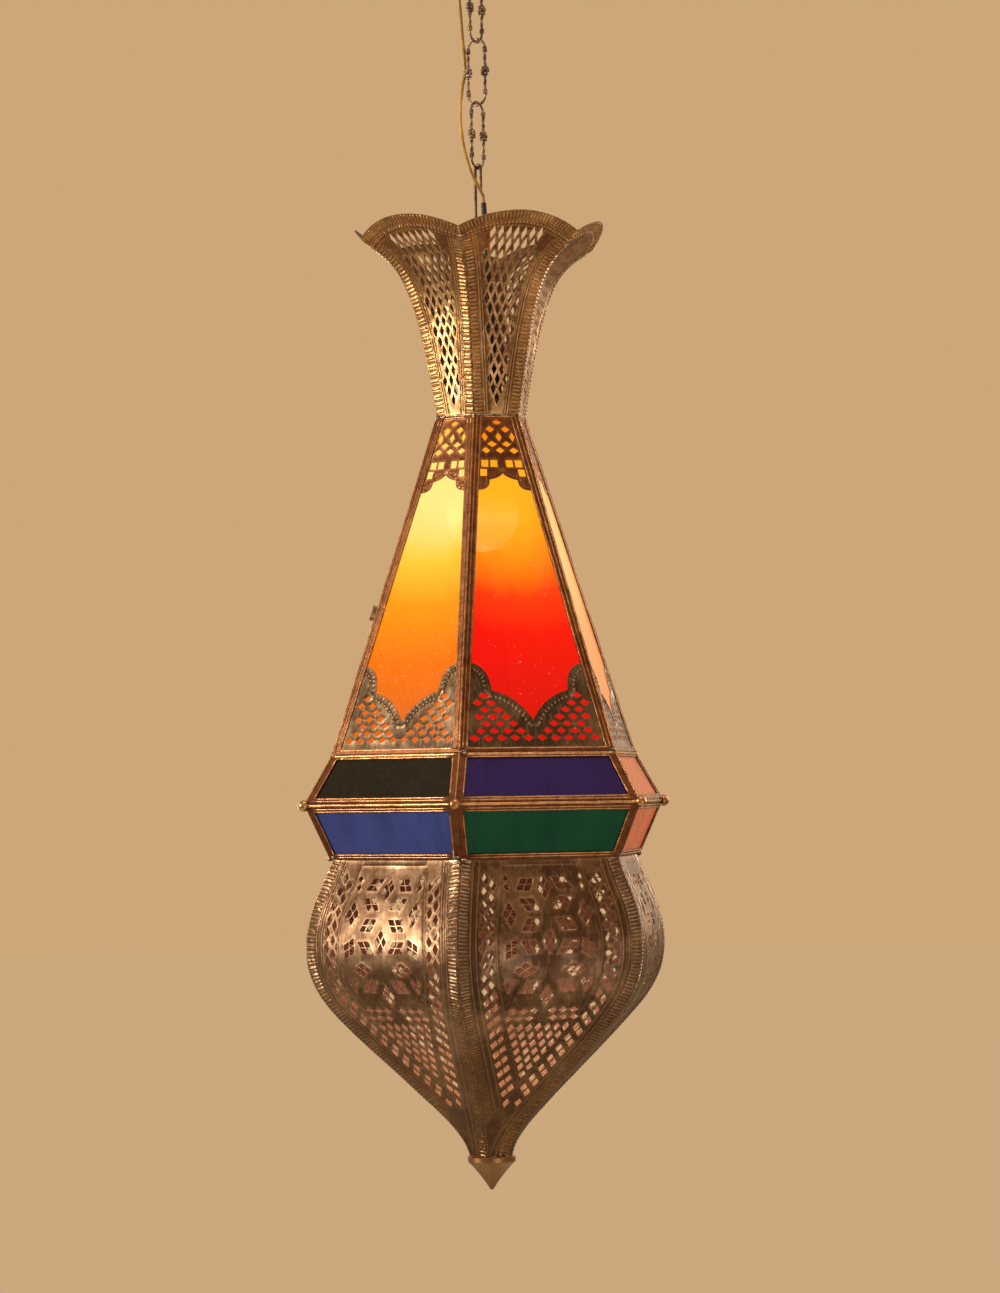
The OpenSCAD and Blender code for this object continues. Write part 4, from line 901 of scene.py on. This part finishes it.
class LANTERN_OT_flex(bpy.types.Operator):
    """The flex from the sleeve up to the ceiling canopy, in one length in place of each CAD node of the flex."""

    bl_idname, bl_label, bl_options = "lantern.flex", "Flex", {"REGISTER", "UNDO"}

    def execute(self, context):
        s, fine = context.scene.lantern_flex, 4
        line = [MOUTH + (ROUTE[0] - MOUTH) * i / fine for i in range(fine)] + spline(ROUTE, 2 * fine)
        line += [END + np.array([0, 0, FLEX_D]) * i / fine for i in range(1, fine + 1)]
        for name, a, b, upper, lower in PARTS:
            path, pile = line[a * fine: b * fine + 1], Pile()
            pile.tube(path, s.radius / MM, sides=14, flat=0.98)
            obj = pile.build(name + "_jacket", FINISH["flex"])
            sharp_edges(obj.data, 60)
            path = [tuple(p * MM) for p in path]
            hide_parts(name)
            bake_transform(obj)
        return {"FINISHED"}


# ---- chain
CHAIN_TURN, BEND_R, BEND_Z, BEND_END, TWIN_HALF = -26.0, 7.5, 16.9, 13.9, 15.2
COIL_TURNS, COIL_PITCH, COIL_R, COIL_WIRE, GRAIN = 4, 0.86, 1.4, 0.52, 2.0
# Rings of granules: place along the side, distance from it, size and count, the first three in grains
CLUSTER = [(-1.9, 0.1, 0.8, 1), (-0.95, 0.85, 0.8, 3), (0.1, 1.05, 0.85, 4), (1.05, 0.8, 0.8, 3),
           (1.95, 0.1, 0.8, 1)]


def twin_wires(pile, s, at, n=40):
    """Two thin wires laid round each other between the binding coils."""
    for w in (0, 1):
        path = []
        for i in range(n + 1):
            a = tau * (s.twist * i / n + w / 2)
            path.append((at + 0.66 * cos(a), 0.66 * sin(a), -TWIN_HALF + 2 * TWIN_HALF * i / n))
        pile.tube(path, s.twin / MM / 2 * 0.96, s.sides)


def coil(pile, at, low, n=14):
    """A binding coil round one side of a link."""
    path = []
    for i in range(n * COIL_TURNS + 1):
        a = tau * i / n
        path.append((at + COIL_R * cos(a), COIL_R * sin(a), low + COIL_PITCH * i / n))
    pile.tube(path, COIL_WIRE)


class LANTERN_OT_chain(bpy.types.Operator):
    """The three wire links with their twisted sides, coils and granules."""

    bl_idname, bl_label, bl_options = "lantern.chain", "Chain", {"REGISTER", "UNDO"}

    def execute(self, context):
        s = context.scene.lantern_chain
        for which, z, turn in (("top", -64.7, 90), ("middle", -111.3, 0), ("bottom", -157.9, 90)):
            name, pile = "chain_link_" + which, Pile()
            rnd = random.Random(name)
            for up in (1, -1):
                path = [(BEND_R * cos(a), 0, up * (BEND_Z + BEND_R * sin(a)))
                        for a in np.linspace(0, pi, 25)]
                path = [(BEND_R, 0, up * BEND_END), *path, (-BEND_R, 0, up * BEND_END)]
                pile.tube(path, s.wire / MM / 2 * 0.99, s.sides)
            for side in (1, -1):
                at = side * BEND_R
                twin_wires(pile, s, at)
                for low in (13.95, -17.45):
                    coil(pile, at, low + 0.42)
                for zr, out, size, count in CLUSTER:
                    for i in range(count):
                        a = radians(i * 360 / count + 20 * zr)
                        a = a if side > 0 else pi - a
                        k = GRAIN * size * rnd.uniform(0.92, 1.0)
                        centre = (at + out * GRAIN * cos(a), out * GRAIN * sin(a), zr * GRAIN)
                        pile.ball(centre, k, 0.05, i + zr)
                pile.ball((at, 0, 0), (1.9, 1.9, 4.2), 0.25, side)
            pile.verts = [turned(v, CHAIN_TURN + turn) + np.array([0, 0, z]) for v in pile.verts]
            dress(pile.build(name + "_wirework", FINISH["chain"]), "link_" + which, name)
        return {"FINISHED"}


# ---- crown
# Room to the ends of a face, thickness of the chased sheet, and the crown's rows of holes
MARGIN, THIN = 0.3, 0.55
ROWS, ROW_STEP, ROW_PITCH, HOLE_W, HOLE_H = 17, 7.1, 6, 4.2, 9.2


def edge_bands(right, left, ribs, lines):
    """The same relief along both mitres of a face."""
    return [Band(right, 1, ribs, lines), Band(left, -1, ribs, lines)]


def lay_bent(sheet, node, form, k, finish, seed, s, flip=False):
    """Lays a sheet on a bent face of the lantern, in place of the CAD node."""
    obj = sheet.lay(node + "_chased", form, k, 0.0, THIN, FINISH[finish], seed, s.dents / MM, s.burr / MM, flip)
    dress(obj, "lantern", node)


class LANTERN_OT_crown(bpy.types.Operator):
    """Six chased and pierced petals of the crown."""

    bl_idname, bl_label, bl_options = "lantern.crown", "Crown", {"REGISTER", "UNDO"}

    def execute(self, context):
        s, rnd = context.scene.lantern_sheet, random.Random(3)
        crest_flat, half = CROWN.line[-1][0], CROWN_R / 2
        sag = crest_flat - FLAT * CROWN_R
        big = (half * half + sag * sag) / (2 * sag)

        def rim(x):
            """How far up the petal its scalloped rim is."""
            want = crest_flat - big + sqrt(big * big - x * x) - 0.25
            return float(np.interp(want, CROWN.line[:, 0], CROWN.run))

        top = [(x, rim(x)) for x in np.linspace(half - 0.4, 0.4 - half, 150)]
        right, left = (CROWN.side(sign, MARGIN, rim(half - 0.4)) for sign in (1, -1))
        foot = [(x, MARGIN) for x in np.linspace(-CROWN.half(MARGIN), CROWN.half(MARGIN), 24)]
        outline = foot[:-1] + dense(right, 0.7)[:-1] + top[1:-1] + dense(left[::-1], 0.7)[:-1]
        ribs, line, bead = s.rib_height / MM, s.line_height / MM, s.bead_height / MM
        pitch, wander = s.rib_pitch / MM, s.wander / MM
        lip = Band(top, 1, (0.7, 7.2, pitch, ribs), ((8.3, 0.8, line * 0.7),),
                   ((10.6, 1.25, 3.3, bead), (13.8, 1.1, 3.3, bead * 0.8)))
        edges = edge_bands(right, left, (0.6, 7.6, pitch, ribs), ((9.0, 0.9, line), (11.0, 0.8, line * 0.8)))
        holes = []
        for r in range(ROWS):
            place = float(np.interp(Z_NECK + 11 + r * ROW_STEP, CROWN.line[:, 1], CROWN.run))
            stretch = 1.0 / max(0.5, np.interp(place, CROWN.run, CROWN.out[:, 0]))
            room = min((CROWN.flat(place) - SHEET_T) * TAN - 12, 21)
            for x in ((c + (r % 2) / 2) * ROW_PITCH for c in range(-5, 6)):
                if abs(x) + HOLE_W / 2 < room + 1:
                    holes.append(diamond((x, place), HOLE_W, HOLE_H * stretch, rnd, wander))
        sheet = Sheet(outline, holes, [lip, *edges])
        for k in range(6):
            lay_bent(sheet, f"crown_petal_{k + 1}", CROWN, k, "petal", k + 1, s)
        return {"FINISHED"}


# ---- onion
# Rosettes and single cuts of a gore: place down it and beside its middle in spans, and the turn in degrees
SPAN = 39.8
ROSETTES = [(0.533, 0, 90), (1.52, 0, 90), (2.538, 0, 90), (0.467, 0.34, 30), (0.837, 0.318, -30),
            (1.224, 0.328, 30), (1.628, 0.343, -30), (2.35, 0.337, 30), (1.025, 0.71, 90), (1.65, 0.735, 60),
            (2.028, 0.46, 0)]
SINGLES = [(0.36, 0.71), (0.52, 0.71), (2.27, 0.665), (2.27, 0.795), (2.41, 0.73)]
# Rows towards the tip: start, step and pitch; columns along the mitres: start, step, border and distance
TIP_START, TIP_STEP, TIP_PITCH = 130, 8, 7
SIDE_START, SIDE_STEP, SIDE_BORDER, SIDE_GAP = 14, 10.2, 20, 5.6


def split_rhomb(c, turn, rnd, wander):
    """A rhomb of four cuts."""
    wide = SPAN * 0.47
    high = wide * 0.62
    ct, st = cos(radians(turn)), sin(radians(turn))
    dx, dy = rnd.gauss(0, wander), rnd.gauss(0, wander)
    out = []
    for x, y in ((wide / 4, 0), (-wide / 4, 0), (0, high / 4), (0, -high / 4)):
        at = (c[0] + dx + x * ct - y * st, c[1] + dy + x * st + y * ct)
        lean = turn + rnd.uniform(-2, 2)
        out.append(diamond(at, 0.88 * wide / 2, 0.88 * high / 2, rnd, wander * 0.4, lean))
    return out


def onion_holes(rnd, wander):
    """The rosettes, the cuts between them, the rows towards the tip and the columns along the mitres."""
    holes = []
    for q, x, turn in ROSETTES:
        for s in ((-1, 1) if x else (1,)):
            holes += split_rhomb((s * x * SPAN, q * SPAN), s * turn if x else turn, rnd, wander)
    for q, x in SINGLES:
        for s in (-1, 1):
            holes.append(diamond((s * x * SPAN, q * SPAN), 4.4, 5.6, rnd, wander * 0.5))
    for s in (-1, 1):
        for i, j in ((i, j) for i in (-1, 0, 1) for j in (0, 1)):
            holes.append(diamond((s * (15 + i * 8 + j * 2), 114 + j * 7), 7, 5, rnd, wander * 0.5))
    for r in range(8):
        q = TIP_START + r * TIP_STEP
        for x in ((c + (r % 2) / 2) * TIP_PITCH for c in range(-5, 6)):
            if abs(x) + 2.5 < ONION.half(q) - 29:
                holes.append(diamond((x, q), 5.3, 8.9, rnd, wander * 0.6))
    for s, col in ((s, col) for s in (-1, 1) for col in (0, 1)):
        for q in (SIDE_START + (r + col / 2) * SIDE_STEP for r in range(31)):
            x = ONION.half(q) - SIDE_BORDER - col * SIDE_GAP if q < ONION.run[-1] - 8.4 else 0
            if x > 3:
                holes.append(diamond((s * x, q), 5.5, 9.2, rnd, wander * 0.5))
    return holes


class LANTERN_OT_onion(bpy.types.Operator):
    """Six chased and pierced gores of the onion."""

    bl_idname, bl_label, bl_options = "lantern.onion", "Onion", {"REGISTER", "UNDO"}

    def execute(self, context):
        s, end = context.scene.lantern_sheet, ONION.run[-1] - MARGIN
        right, left = (ONION.side(sign, MARGIN, end) for sign in (1, -1))
        top = [(x, MARGIN) for x in np.linspace(-ONION.half(MARGIN), ONION.half(MARGIN), 60)]
        foot = [(x, end) for x in np.linspace(ONION.half(end), -ONION.half(end), 12)]
        outline = top[:-1] + dense(right, 0.75)[:-1] + foot[:-1] + dense(left[::-1], 0.75)[:-1]
        line = s.line_height / MM
        bands = edge_bands(right, left, (0.7, 8.6, s.rib_pitch / MM, s.rib_height / MM),
                           ((10.2, 0.9, line), (14.6, 0.9, line), (30.2, 0.8, line * 0.6)))
        bands.append(Band(top, 1, lines=((4.2, 0.9, line * 0.7),)))
        for seed in (0, 1):
            sheet = Sheet(outline, onion_holes(random.Random(11 + seed), s.wander / MM), bands)
            for k in range(seed, 6, 2):
                lay_bent(sheet, f"onion_gore_{k + 1}", ONION, k, "gore", 20 + k, s, flip=True)
        return {"FINISHED"}


# ---- tracery over the panes
# Height and thickness of the sheets on the cone, and the depth of their dents
OVER_CONE, TRACERY_T, TRACERY_DENTS = 4.0, 0.5, 0.15
# The foot's dip, lobe and top over the cone's foot, and the head's dip, lobe and end below its head
FOOT_DIP, FOOT_LOBE, FOOT_TOP = 23, (29, 45.5), 66.0
HEAD_DIP, HEAD_LOBE, HEAD_END = 46.4, (10.9, 51.6), 59.5
# Pitch of the foot's holes; rows of the head's: depth, places, width and height in squares, and whether pointed
SQUARE, NET, NET_STEP = 5, 10.2, 5.2
HEAD_ROWS = [(1.44, (0,), 1.5, 0.8, 1), (2.48, (1.2,), 1.44, 1, 1), (3.64, (0, 2.1), 0.96, 1.5, 1),
             (4.78, (1.14,), 1.5, 1, 1), (5.76, (0, 2.16), 1.4, 1, 1), (7.8, (1.2, 2.6), 1.1, 1.1, 0),
             (9.22, (2.96,), 1.05, 1.1, 0)]


def foot_limit(x):
    """How high the foot's holes may go beside its lobes."""
    far, high = FOOT_LOBE
    if abs(x) < far:
        return FOOT_DIP + (high - FOOT_DIP) * sqrt(abs(x) / far)
    return high + (FOOT_TOP - high) * min(1, (abs(x) - far) / (far / 4))


def leaning_square(c, w, h, lean, rnd, wander):
    """A square hole whose sides lean with the mitre."""
    out = []
    corners = [(-1, -1), (1, -1), (1, 1), (-1, 1)]
    for (ax, ay), (bx, by) in zip(corners, corners[1:] + corners[:1]):
        for i in range(4):
            x, y = ax + (bx - ax) * i / 4, ay + (by - ay) * i / 4
            out.append((c[0] + x * w / 2 - y * lean * h / 2 + rnd.gauss(0, wander * 0.2),
                        c[1] + y * h / 2 + rnd.gauss(0, wander * 0.2)))
    return out


def lobed(edge, level, half, count, way, inward, holes, **relief):
    """A sheet from a straight base to a lobed edge, with a rope along the edge; way is -1 if the base is above."""
    (x, y), left = edge[-1], [(-x, y) for x, y in edge]
    outline = [(x, level) for x in np.linspace(-way * half, way * half, count)]
    outline += dense([(way * half, level), (way * x, y)], 1.2)[1:-1]
    outline += dense([(way * x, y) for x, y in edge[::-1]], 0.7)[:-1]
    outline += dense([(-way * x, y) for x, y in edge], 0.7)[:-1]
    outline += dense([(-way * x, y), (-way * half, level)], 1.2)[:-1]
    rope = left[:0:-1] + [tuple(p) for p in edge]
    return Sheet(outline, holes, [Band(rope, inward, **relief)], grid=2.6)


def tracery_sheets(border, rail, s, rnd):
    """Pattern of the foot and of the head of a pane."""
    inner, top = border + 0.1, CONE.len
    wander, bead = s.wander / MM, s.bead_height / MM
    x, y = FOOT_LOBE
    edge = bow((0, FOOT_DIP), (9.67, 0.9 * y), FOOT_LOBE, 14)
    edge += bow(FOOT_LOBE, (x, 0.95 * FOOT_TOP), (CONE.half(FOOT_TOP, inner), FOOT_TOP), 10)[1:]
    holes = []
    for r in range(8):
        y = NET + r * NET_STEP
        for x in ((c + ((r + 1) % 2) / 2) * NET for c in range(-6, 7)):
            if y + 12 < foot_limit(x) and abs(x) + 4.1 < CONE.half(y, border) - 0.5:
                holes.append(diamond((x, y), 8.2, 5, rnd, wander * 0.8))
    foot = lobed(edge, rail, CONE.half(rail, inner), 40, 1, -1, holes, ribs=(1.4, 4.4, 3.8, bead * 0.8),
                 lines=((0.8, 0.7, 0.5),), beads=((4.9, 1.45, 3.8, bead * 1.6),), blend=0.8)
    x, y = HEAD_LOBE
    lobe, end = (x, top - y), top - HEAD_END
    edge = bow((0, top - HEAD_DIP), (x / 4, top - 0.97 * y), lobe, 10)
    edge += bow(lobe, (x, end), (CONE.half(end, inner), end), 8)[1:]
    holes = []
    for depth, places, w, h, pointed in HEAD_ROWS:
        y = top - depth * SQUARE
        if y + h * 2.5 >= top - rail - 0.5:
            continue
        fit = CONE.half(y, border) / CONE.half(y, CAME_W)
        for x in (sign * x for x in places for sign in ((-1, 1) if x else (1,))):
            at, wide, high = (x * SQUARE * fit, y), w * SQUARE * fit, h * SQUARE
            lean = (CONE.half(0) - CONE.half(top)) / top * at[0] / CONE.half(y)
            holes.append(diamond(at, wide, high, rnd, wander * 0.7) if pointed
                         else leaning_square(at, wide, high, lean, rnd, wander))
    return foot, lobed(edge, top - rail, CONE.half(top - rail, inner), 14, -1, 1, holes,
                       ribs=(0.8, 3.6, 2.2, bead * 0.8), lines=((4.2, 0.5, 0.35),), blend=0.7)


class LANTERN_OT_tracery(bpy.types.Operator):
    """Pierced sheets at the foot and the head of each pane."""

    bl_idname, bl_label, bl_options = "lantern.tracery", "Tracery", {"REGISTER", "UNDO"}

    def execute(self, context):
        s = context.scene.lantern_sheet
        for faces, border, rail, body in (((0, 1, 2, 4, 5), CAME_W, 3.5, "lantern"), ((3,), 7.4, 7.0, "door")):
            foot, head = tracery_sheets(border, rail, s, random.Random(5 + border))
            for k in faces:
                node = "door_tracery" if body == "door" else f"cone_tracery_{k + 1}"
                for part, sheet, finish in (("foot", foot, "tracery"), ("head", head, "head")):
                    obj = sheet.lay(f"{node}_{part}", CONE, k, OVER_CONE, TRACERY_T, FINISH[finish], 40 + k,
                                    TRACERY_DENTS, s.burr / MM)
                    dress(obj, body, node if part == "foot" else None)
        return {"FINISHED"}


# ---- cames, solder and glass
def wavy(path, amount, rnd):
    """The path with each point a little out of line."""
    return [np.array(p) + np.array([rnd.gauss(0, amount) for _ in range(3)]) for p in path]


def rod_on(pile, slope, k, a0, y0, a1, y1, c, r, rnd):
    """A rod on face k between two places, c above it."""
    n = max(4, int(hypot(a1 - a0, y1 - y0) / 6))
    path = [slope.place(k, a0 + (a1 - a0) * i / n, y0 + (y1 - y0) * i / n, c) for i in range(n + 1)]
    pile.tube(wavy(path, 0.07, rnd), r)


def came_rods(pile, slope, k, borders, rails, r, c, rnd):
    """Half-sunk ribs along the four sides of a pane's frame."""
    for b in borders:
        for s in (-1, 1):
            y0, y1 = rails[0], slope.len - rails[0]
            rod_on(pile, slope, k, s * slope.half(y0, b), y0, s * slope.half(y1, b), y1, c, r, rnd)
    for y in (at for rail in rails for at in (rail, slope.len - rail)):
        w = slope.half(y, borders[0])
        rod_on(pile, slope, k, -w, y, w, y, c, r, rnd)


class LANTERN_OT_cames(bpy.types.Operator):
    """Ribs of the cames, rods of the ridge, solder, and the finishes of the frames."""

    bl_idname, bl_label, bl_options = "lantern.cames", "Cames and solder", {"REGISTER", "UNDO"}

    def execute(self, context):
        s, rnd = context.scene.lantern_came, random.Random(8)
        c, r = CAME_T - 0.25, s.rod / MM
        cone, belt, door, solder = Pile(), Pile(), Pile(), Pile()
        for k in (0, 1, 2, 4, 5):
            came_rods(cone, CONE, k, (0.5, 3.5), (2.7,), r, c, rnd)
        came_rods(cone, CONE, 3, (1.2,), (1.1,), r * 0.8, c, rnd)
        came_rods(door, CONE, 3, (4.5, 6.7), (4.0, 6.2), r * 0.75, c, rnd)
        for k in range(6):
            for slope, pile in ((CONE, cone), (UPPER, belt), (LOWER, belt)):
                path = [slope.place(k, slope.flat(y, CAME_T) * TAN, y, CAME_T)
                        for y in np.linspace(0.6, slope.len - 0.6, 40)]
                pile.tube(wavy([p * (1 - 0.2 / np.linalg.norm(p[:2])) for p in path], 0.06, rnd), r)
        for k in range(6):
            for slope in (UPPER, LOWER):
                came_rods(belt, slope, k, (3.5,), (3.5, 1.6), r, c, rnd)
        corners = [(CONE.low[0] + 2.9, Z_CONE + 1.0, 1.0), (LOWER.low[0] + 2.6, Z_FOOT - 0.2, 1.05),
                   (CONE.high[0] + 3.0, Z_NECK - 1.5, 0.85)]
        for k, (flat, z, size), _ in ((k, corner, i) for k in range(6) for corner in corners for i in range(3)):
            a = 30 + 60 * k + rnd.uniform(-2.2, 2.2)
            at = turned((flat / FLAT - 0.4 + rnd.uniform(-0.5, 0.4), 0, z + rnd.uniform(-1.6, 1.6)), a)
            blob = tuple(s.blob / MM * size * f * rnd.uniform(0.65, 0.95) for f in (1, 1, 0.7))
            solder.ball(at, blob, 0.4, rnd.random() * 9)
        for flat, z in ((FLAT * CONE_CORNER + 0.1, Z_CONE - 0.6), (FLAT * RIDGE_CORNER - 0.5, Z_RIDGE)):
            for k in range(6):
                path = [turned((flat, flat * TAN * (1 - i / 12), z), 60 * k) for i in range(25)]
                belt.tube(wavy(path, 0.07, rnd), s.ridge / MM)
        ring = []
        for k in range(6):
            p, q = (turned((33.6, 0, Z_NECK - 0.3), 60 * k + a) for a in (-30, 30))
            ring += [p + (q - p) * i / 9 for i in range(9)]
        solder.tube(wavy(ring, 0.3, rnd), 1.15, closed=True)
        for pile, name, finish, body in (
                (cone, "cone_came_ribs", "rod", "lantern"), (belt, "belt_came_ribs", "rod", "lantern"),
                (door, "door_came_ribs", "rod", "door"), (solder, "solder_blobs", "solder", "lantern")):
            dress(pile.build(name, FINISH[finish]), body)
        finish_nodes("came", "cone_frame", "belt_frame", "door_frame", "neck_collar")
        finish_nodes("rod", "belt_knobs", "hook_bar")
        finish_nodes("plated", "door_hinge_pins")
        finish_nodes("solder", "door_clip")
        finish_nodes("cover", "finial")
        return {"FINISHED"}


class LANTERN_OT_glass(bpy.types.Operator):
    """Finishes of the panes and of the lamp."""

    bl_idname, bl_label, bl_options = "lantern.glass", "Glass", {"REGISTER", "UNDO"}

    def execute(self, context):
        finish_nodes("salmon", "cone_pane_1")
        finish_nodes("amber", "cone_pane_2", "cone_pane_5", "door_pane")
        finish_nodes("red", "cone_pane_3", "cone_pane_6")
        finish_nodes("rose", "belt_upper_panes_amber", "belt_lower_panes_orange")
        finish_nodes("violet", "belt_upper_panes_violet")
        finish_nodes("olive", "belt_upper_panes_olive")
        finish_nodes("green", "belt_lower_panes_green")
        finish_nodes("blue", "belt_lower_panes_blue")
        finish_nodes("lamp", "bulb_glass")
        return {"FINISHED"}


class LANTERN_OT_fittings(bpy.types.Operator):
    """Finishes of the ceiling fittings, hooks and lampholder."""

    bl_idname, bl_label, bl_options = "lantern.fittings", "Fittings", {"REGISTER", "UNDO"}

    def execute(self, context):
        finish_nodes("plated", "ceiling_bar", "canopy_nut", "hook_nuts", "lamp_strap", "lampholder_nut",
                     "bulb_cap")
        finish_nodes("hook", "ceiling_hook", "hanging_hook")
        finish_nodes("cover", "ceiling_canopy")
        finish_nodes("black", "canopy_bush", "lampholder")
        finish_nodes("sleeve", "flex_sleeve")
        return {"FINISHED"}


# ---- panel and registration
class LANTERN_PT_panel(bpy.types.Panel):
    """The settings of each group and the buttons that build it."""

    bl_idname, bl_label = "LANTERN_PT_panel", "Pierced Lantern"
    bl_space_type, bl_region_type, bl_category = "VIEW_3D", "UI", "Lantern"

    def draw(self, context):
        for name, operators in GROUPS:
            box = self.layout.box()
            if name:
                group = getattr(context.scene, "lantern_" + name)
                for key in group.bl_rna.properties.keys():
                    if key not in {"rna_type", "name"}:
                        box.prop(group, key)
            for op in operators:
                box.operator("lantern." + op)


GROUPS = [("", ["camera", "fittings"]), ("flex", ["flex"]), ("chain", ["chain"]),
          ("sheet", ["crown", "onion", "tracery"]), ("came", ["cames"]), ("glass", ["glass"]),
          ("stage", ["stage"])]
SETTINGS = {"flex": FlexSettings, "chain": ChainSettings, "sheet": SheetSettings, "came": CameSettings,
            "glass": GlassSettings, "stage": StageSettings}
CLASSES = [*SETTINGS.values(), LANTERN_OT_camera, LANTERN_OT_flex, LANTERN_OT_chain, LANTERN_OT_crown,
           LANTERN_OT_onion, LANTERN_OT_tracery, LANTERN_OT_cames, LANTERN_OT_glass, LANTERN_OT_fittings,
           LANTERN_OT_stage, LANTERN_PT_panel]


def register():
    for c in CLASSES:
        bpy.utils.register_class(c)
    for name, c in SETTINGS.items():
        setattr(bpy.types.Scene, "lantern_" + name, PointerProperty(type=c))


def unregister():
    for name in SETTINGS:
        delattr(bpy.types.Scene, "lantern_" + name)
    for c in reversed(CLASSES):
        bpy.utils.unregister_class(c)


def main():
    register()
    make_finishes(bpy.context.scene)
    bpy.ops.lantern.camera()
    bpy.ops.lantern.flex()
    bpy.ops.lantern.chain()
    bpy.ops.lantern.crown()
    bpy.ops.lantern.onion()
    bpy.ops.lantern.tracery()
    bpy.ops.lantern.cames()
    bpy.ops.lantern.glass()
    bpy.ops.lantern.fittings()
    bpy.ops.lantern.stage()


if __name__ == "__main__":
    main()
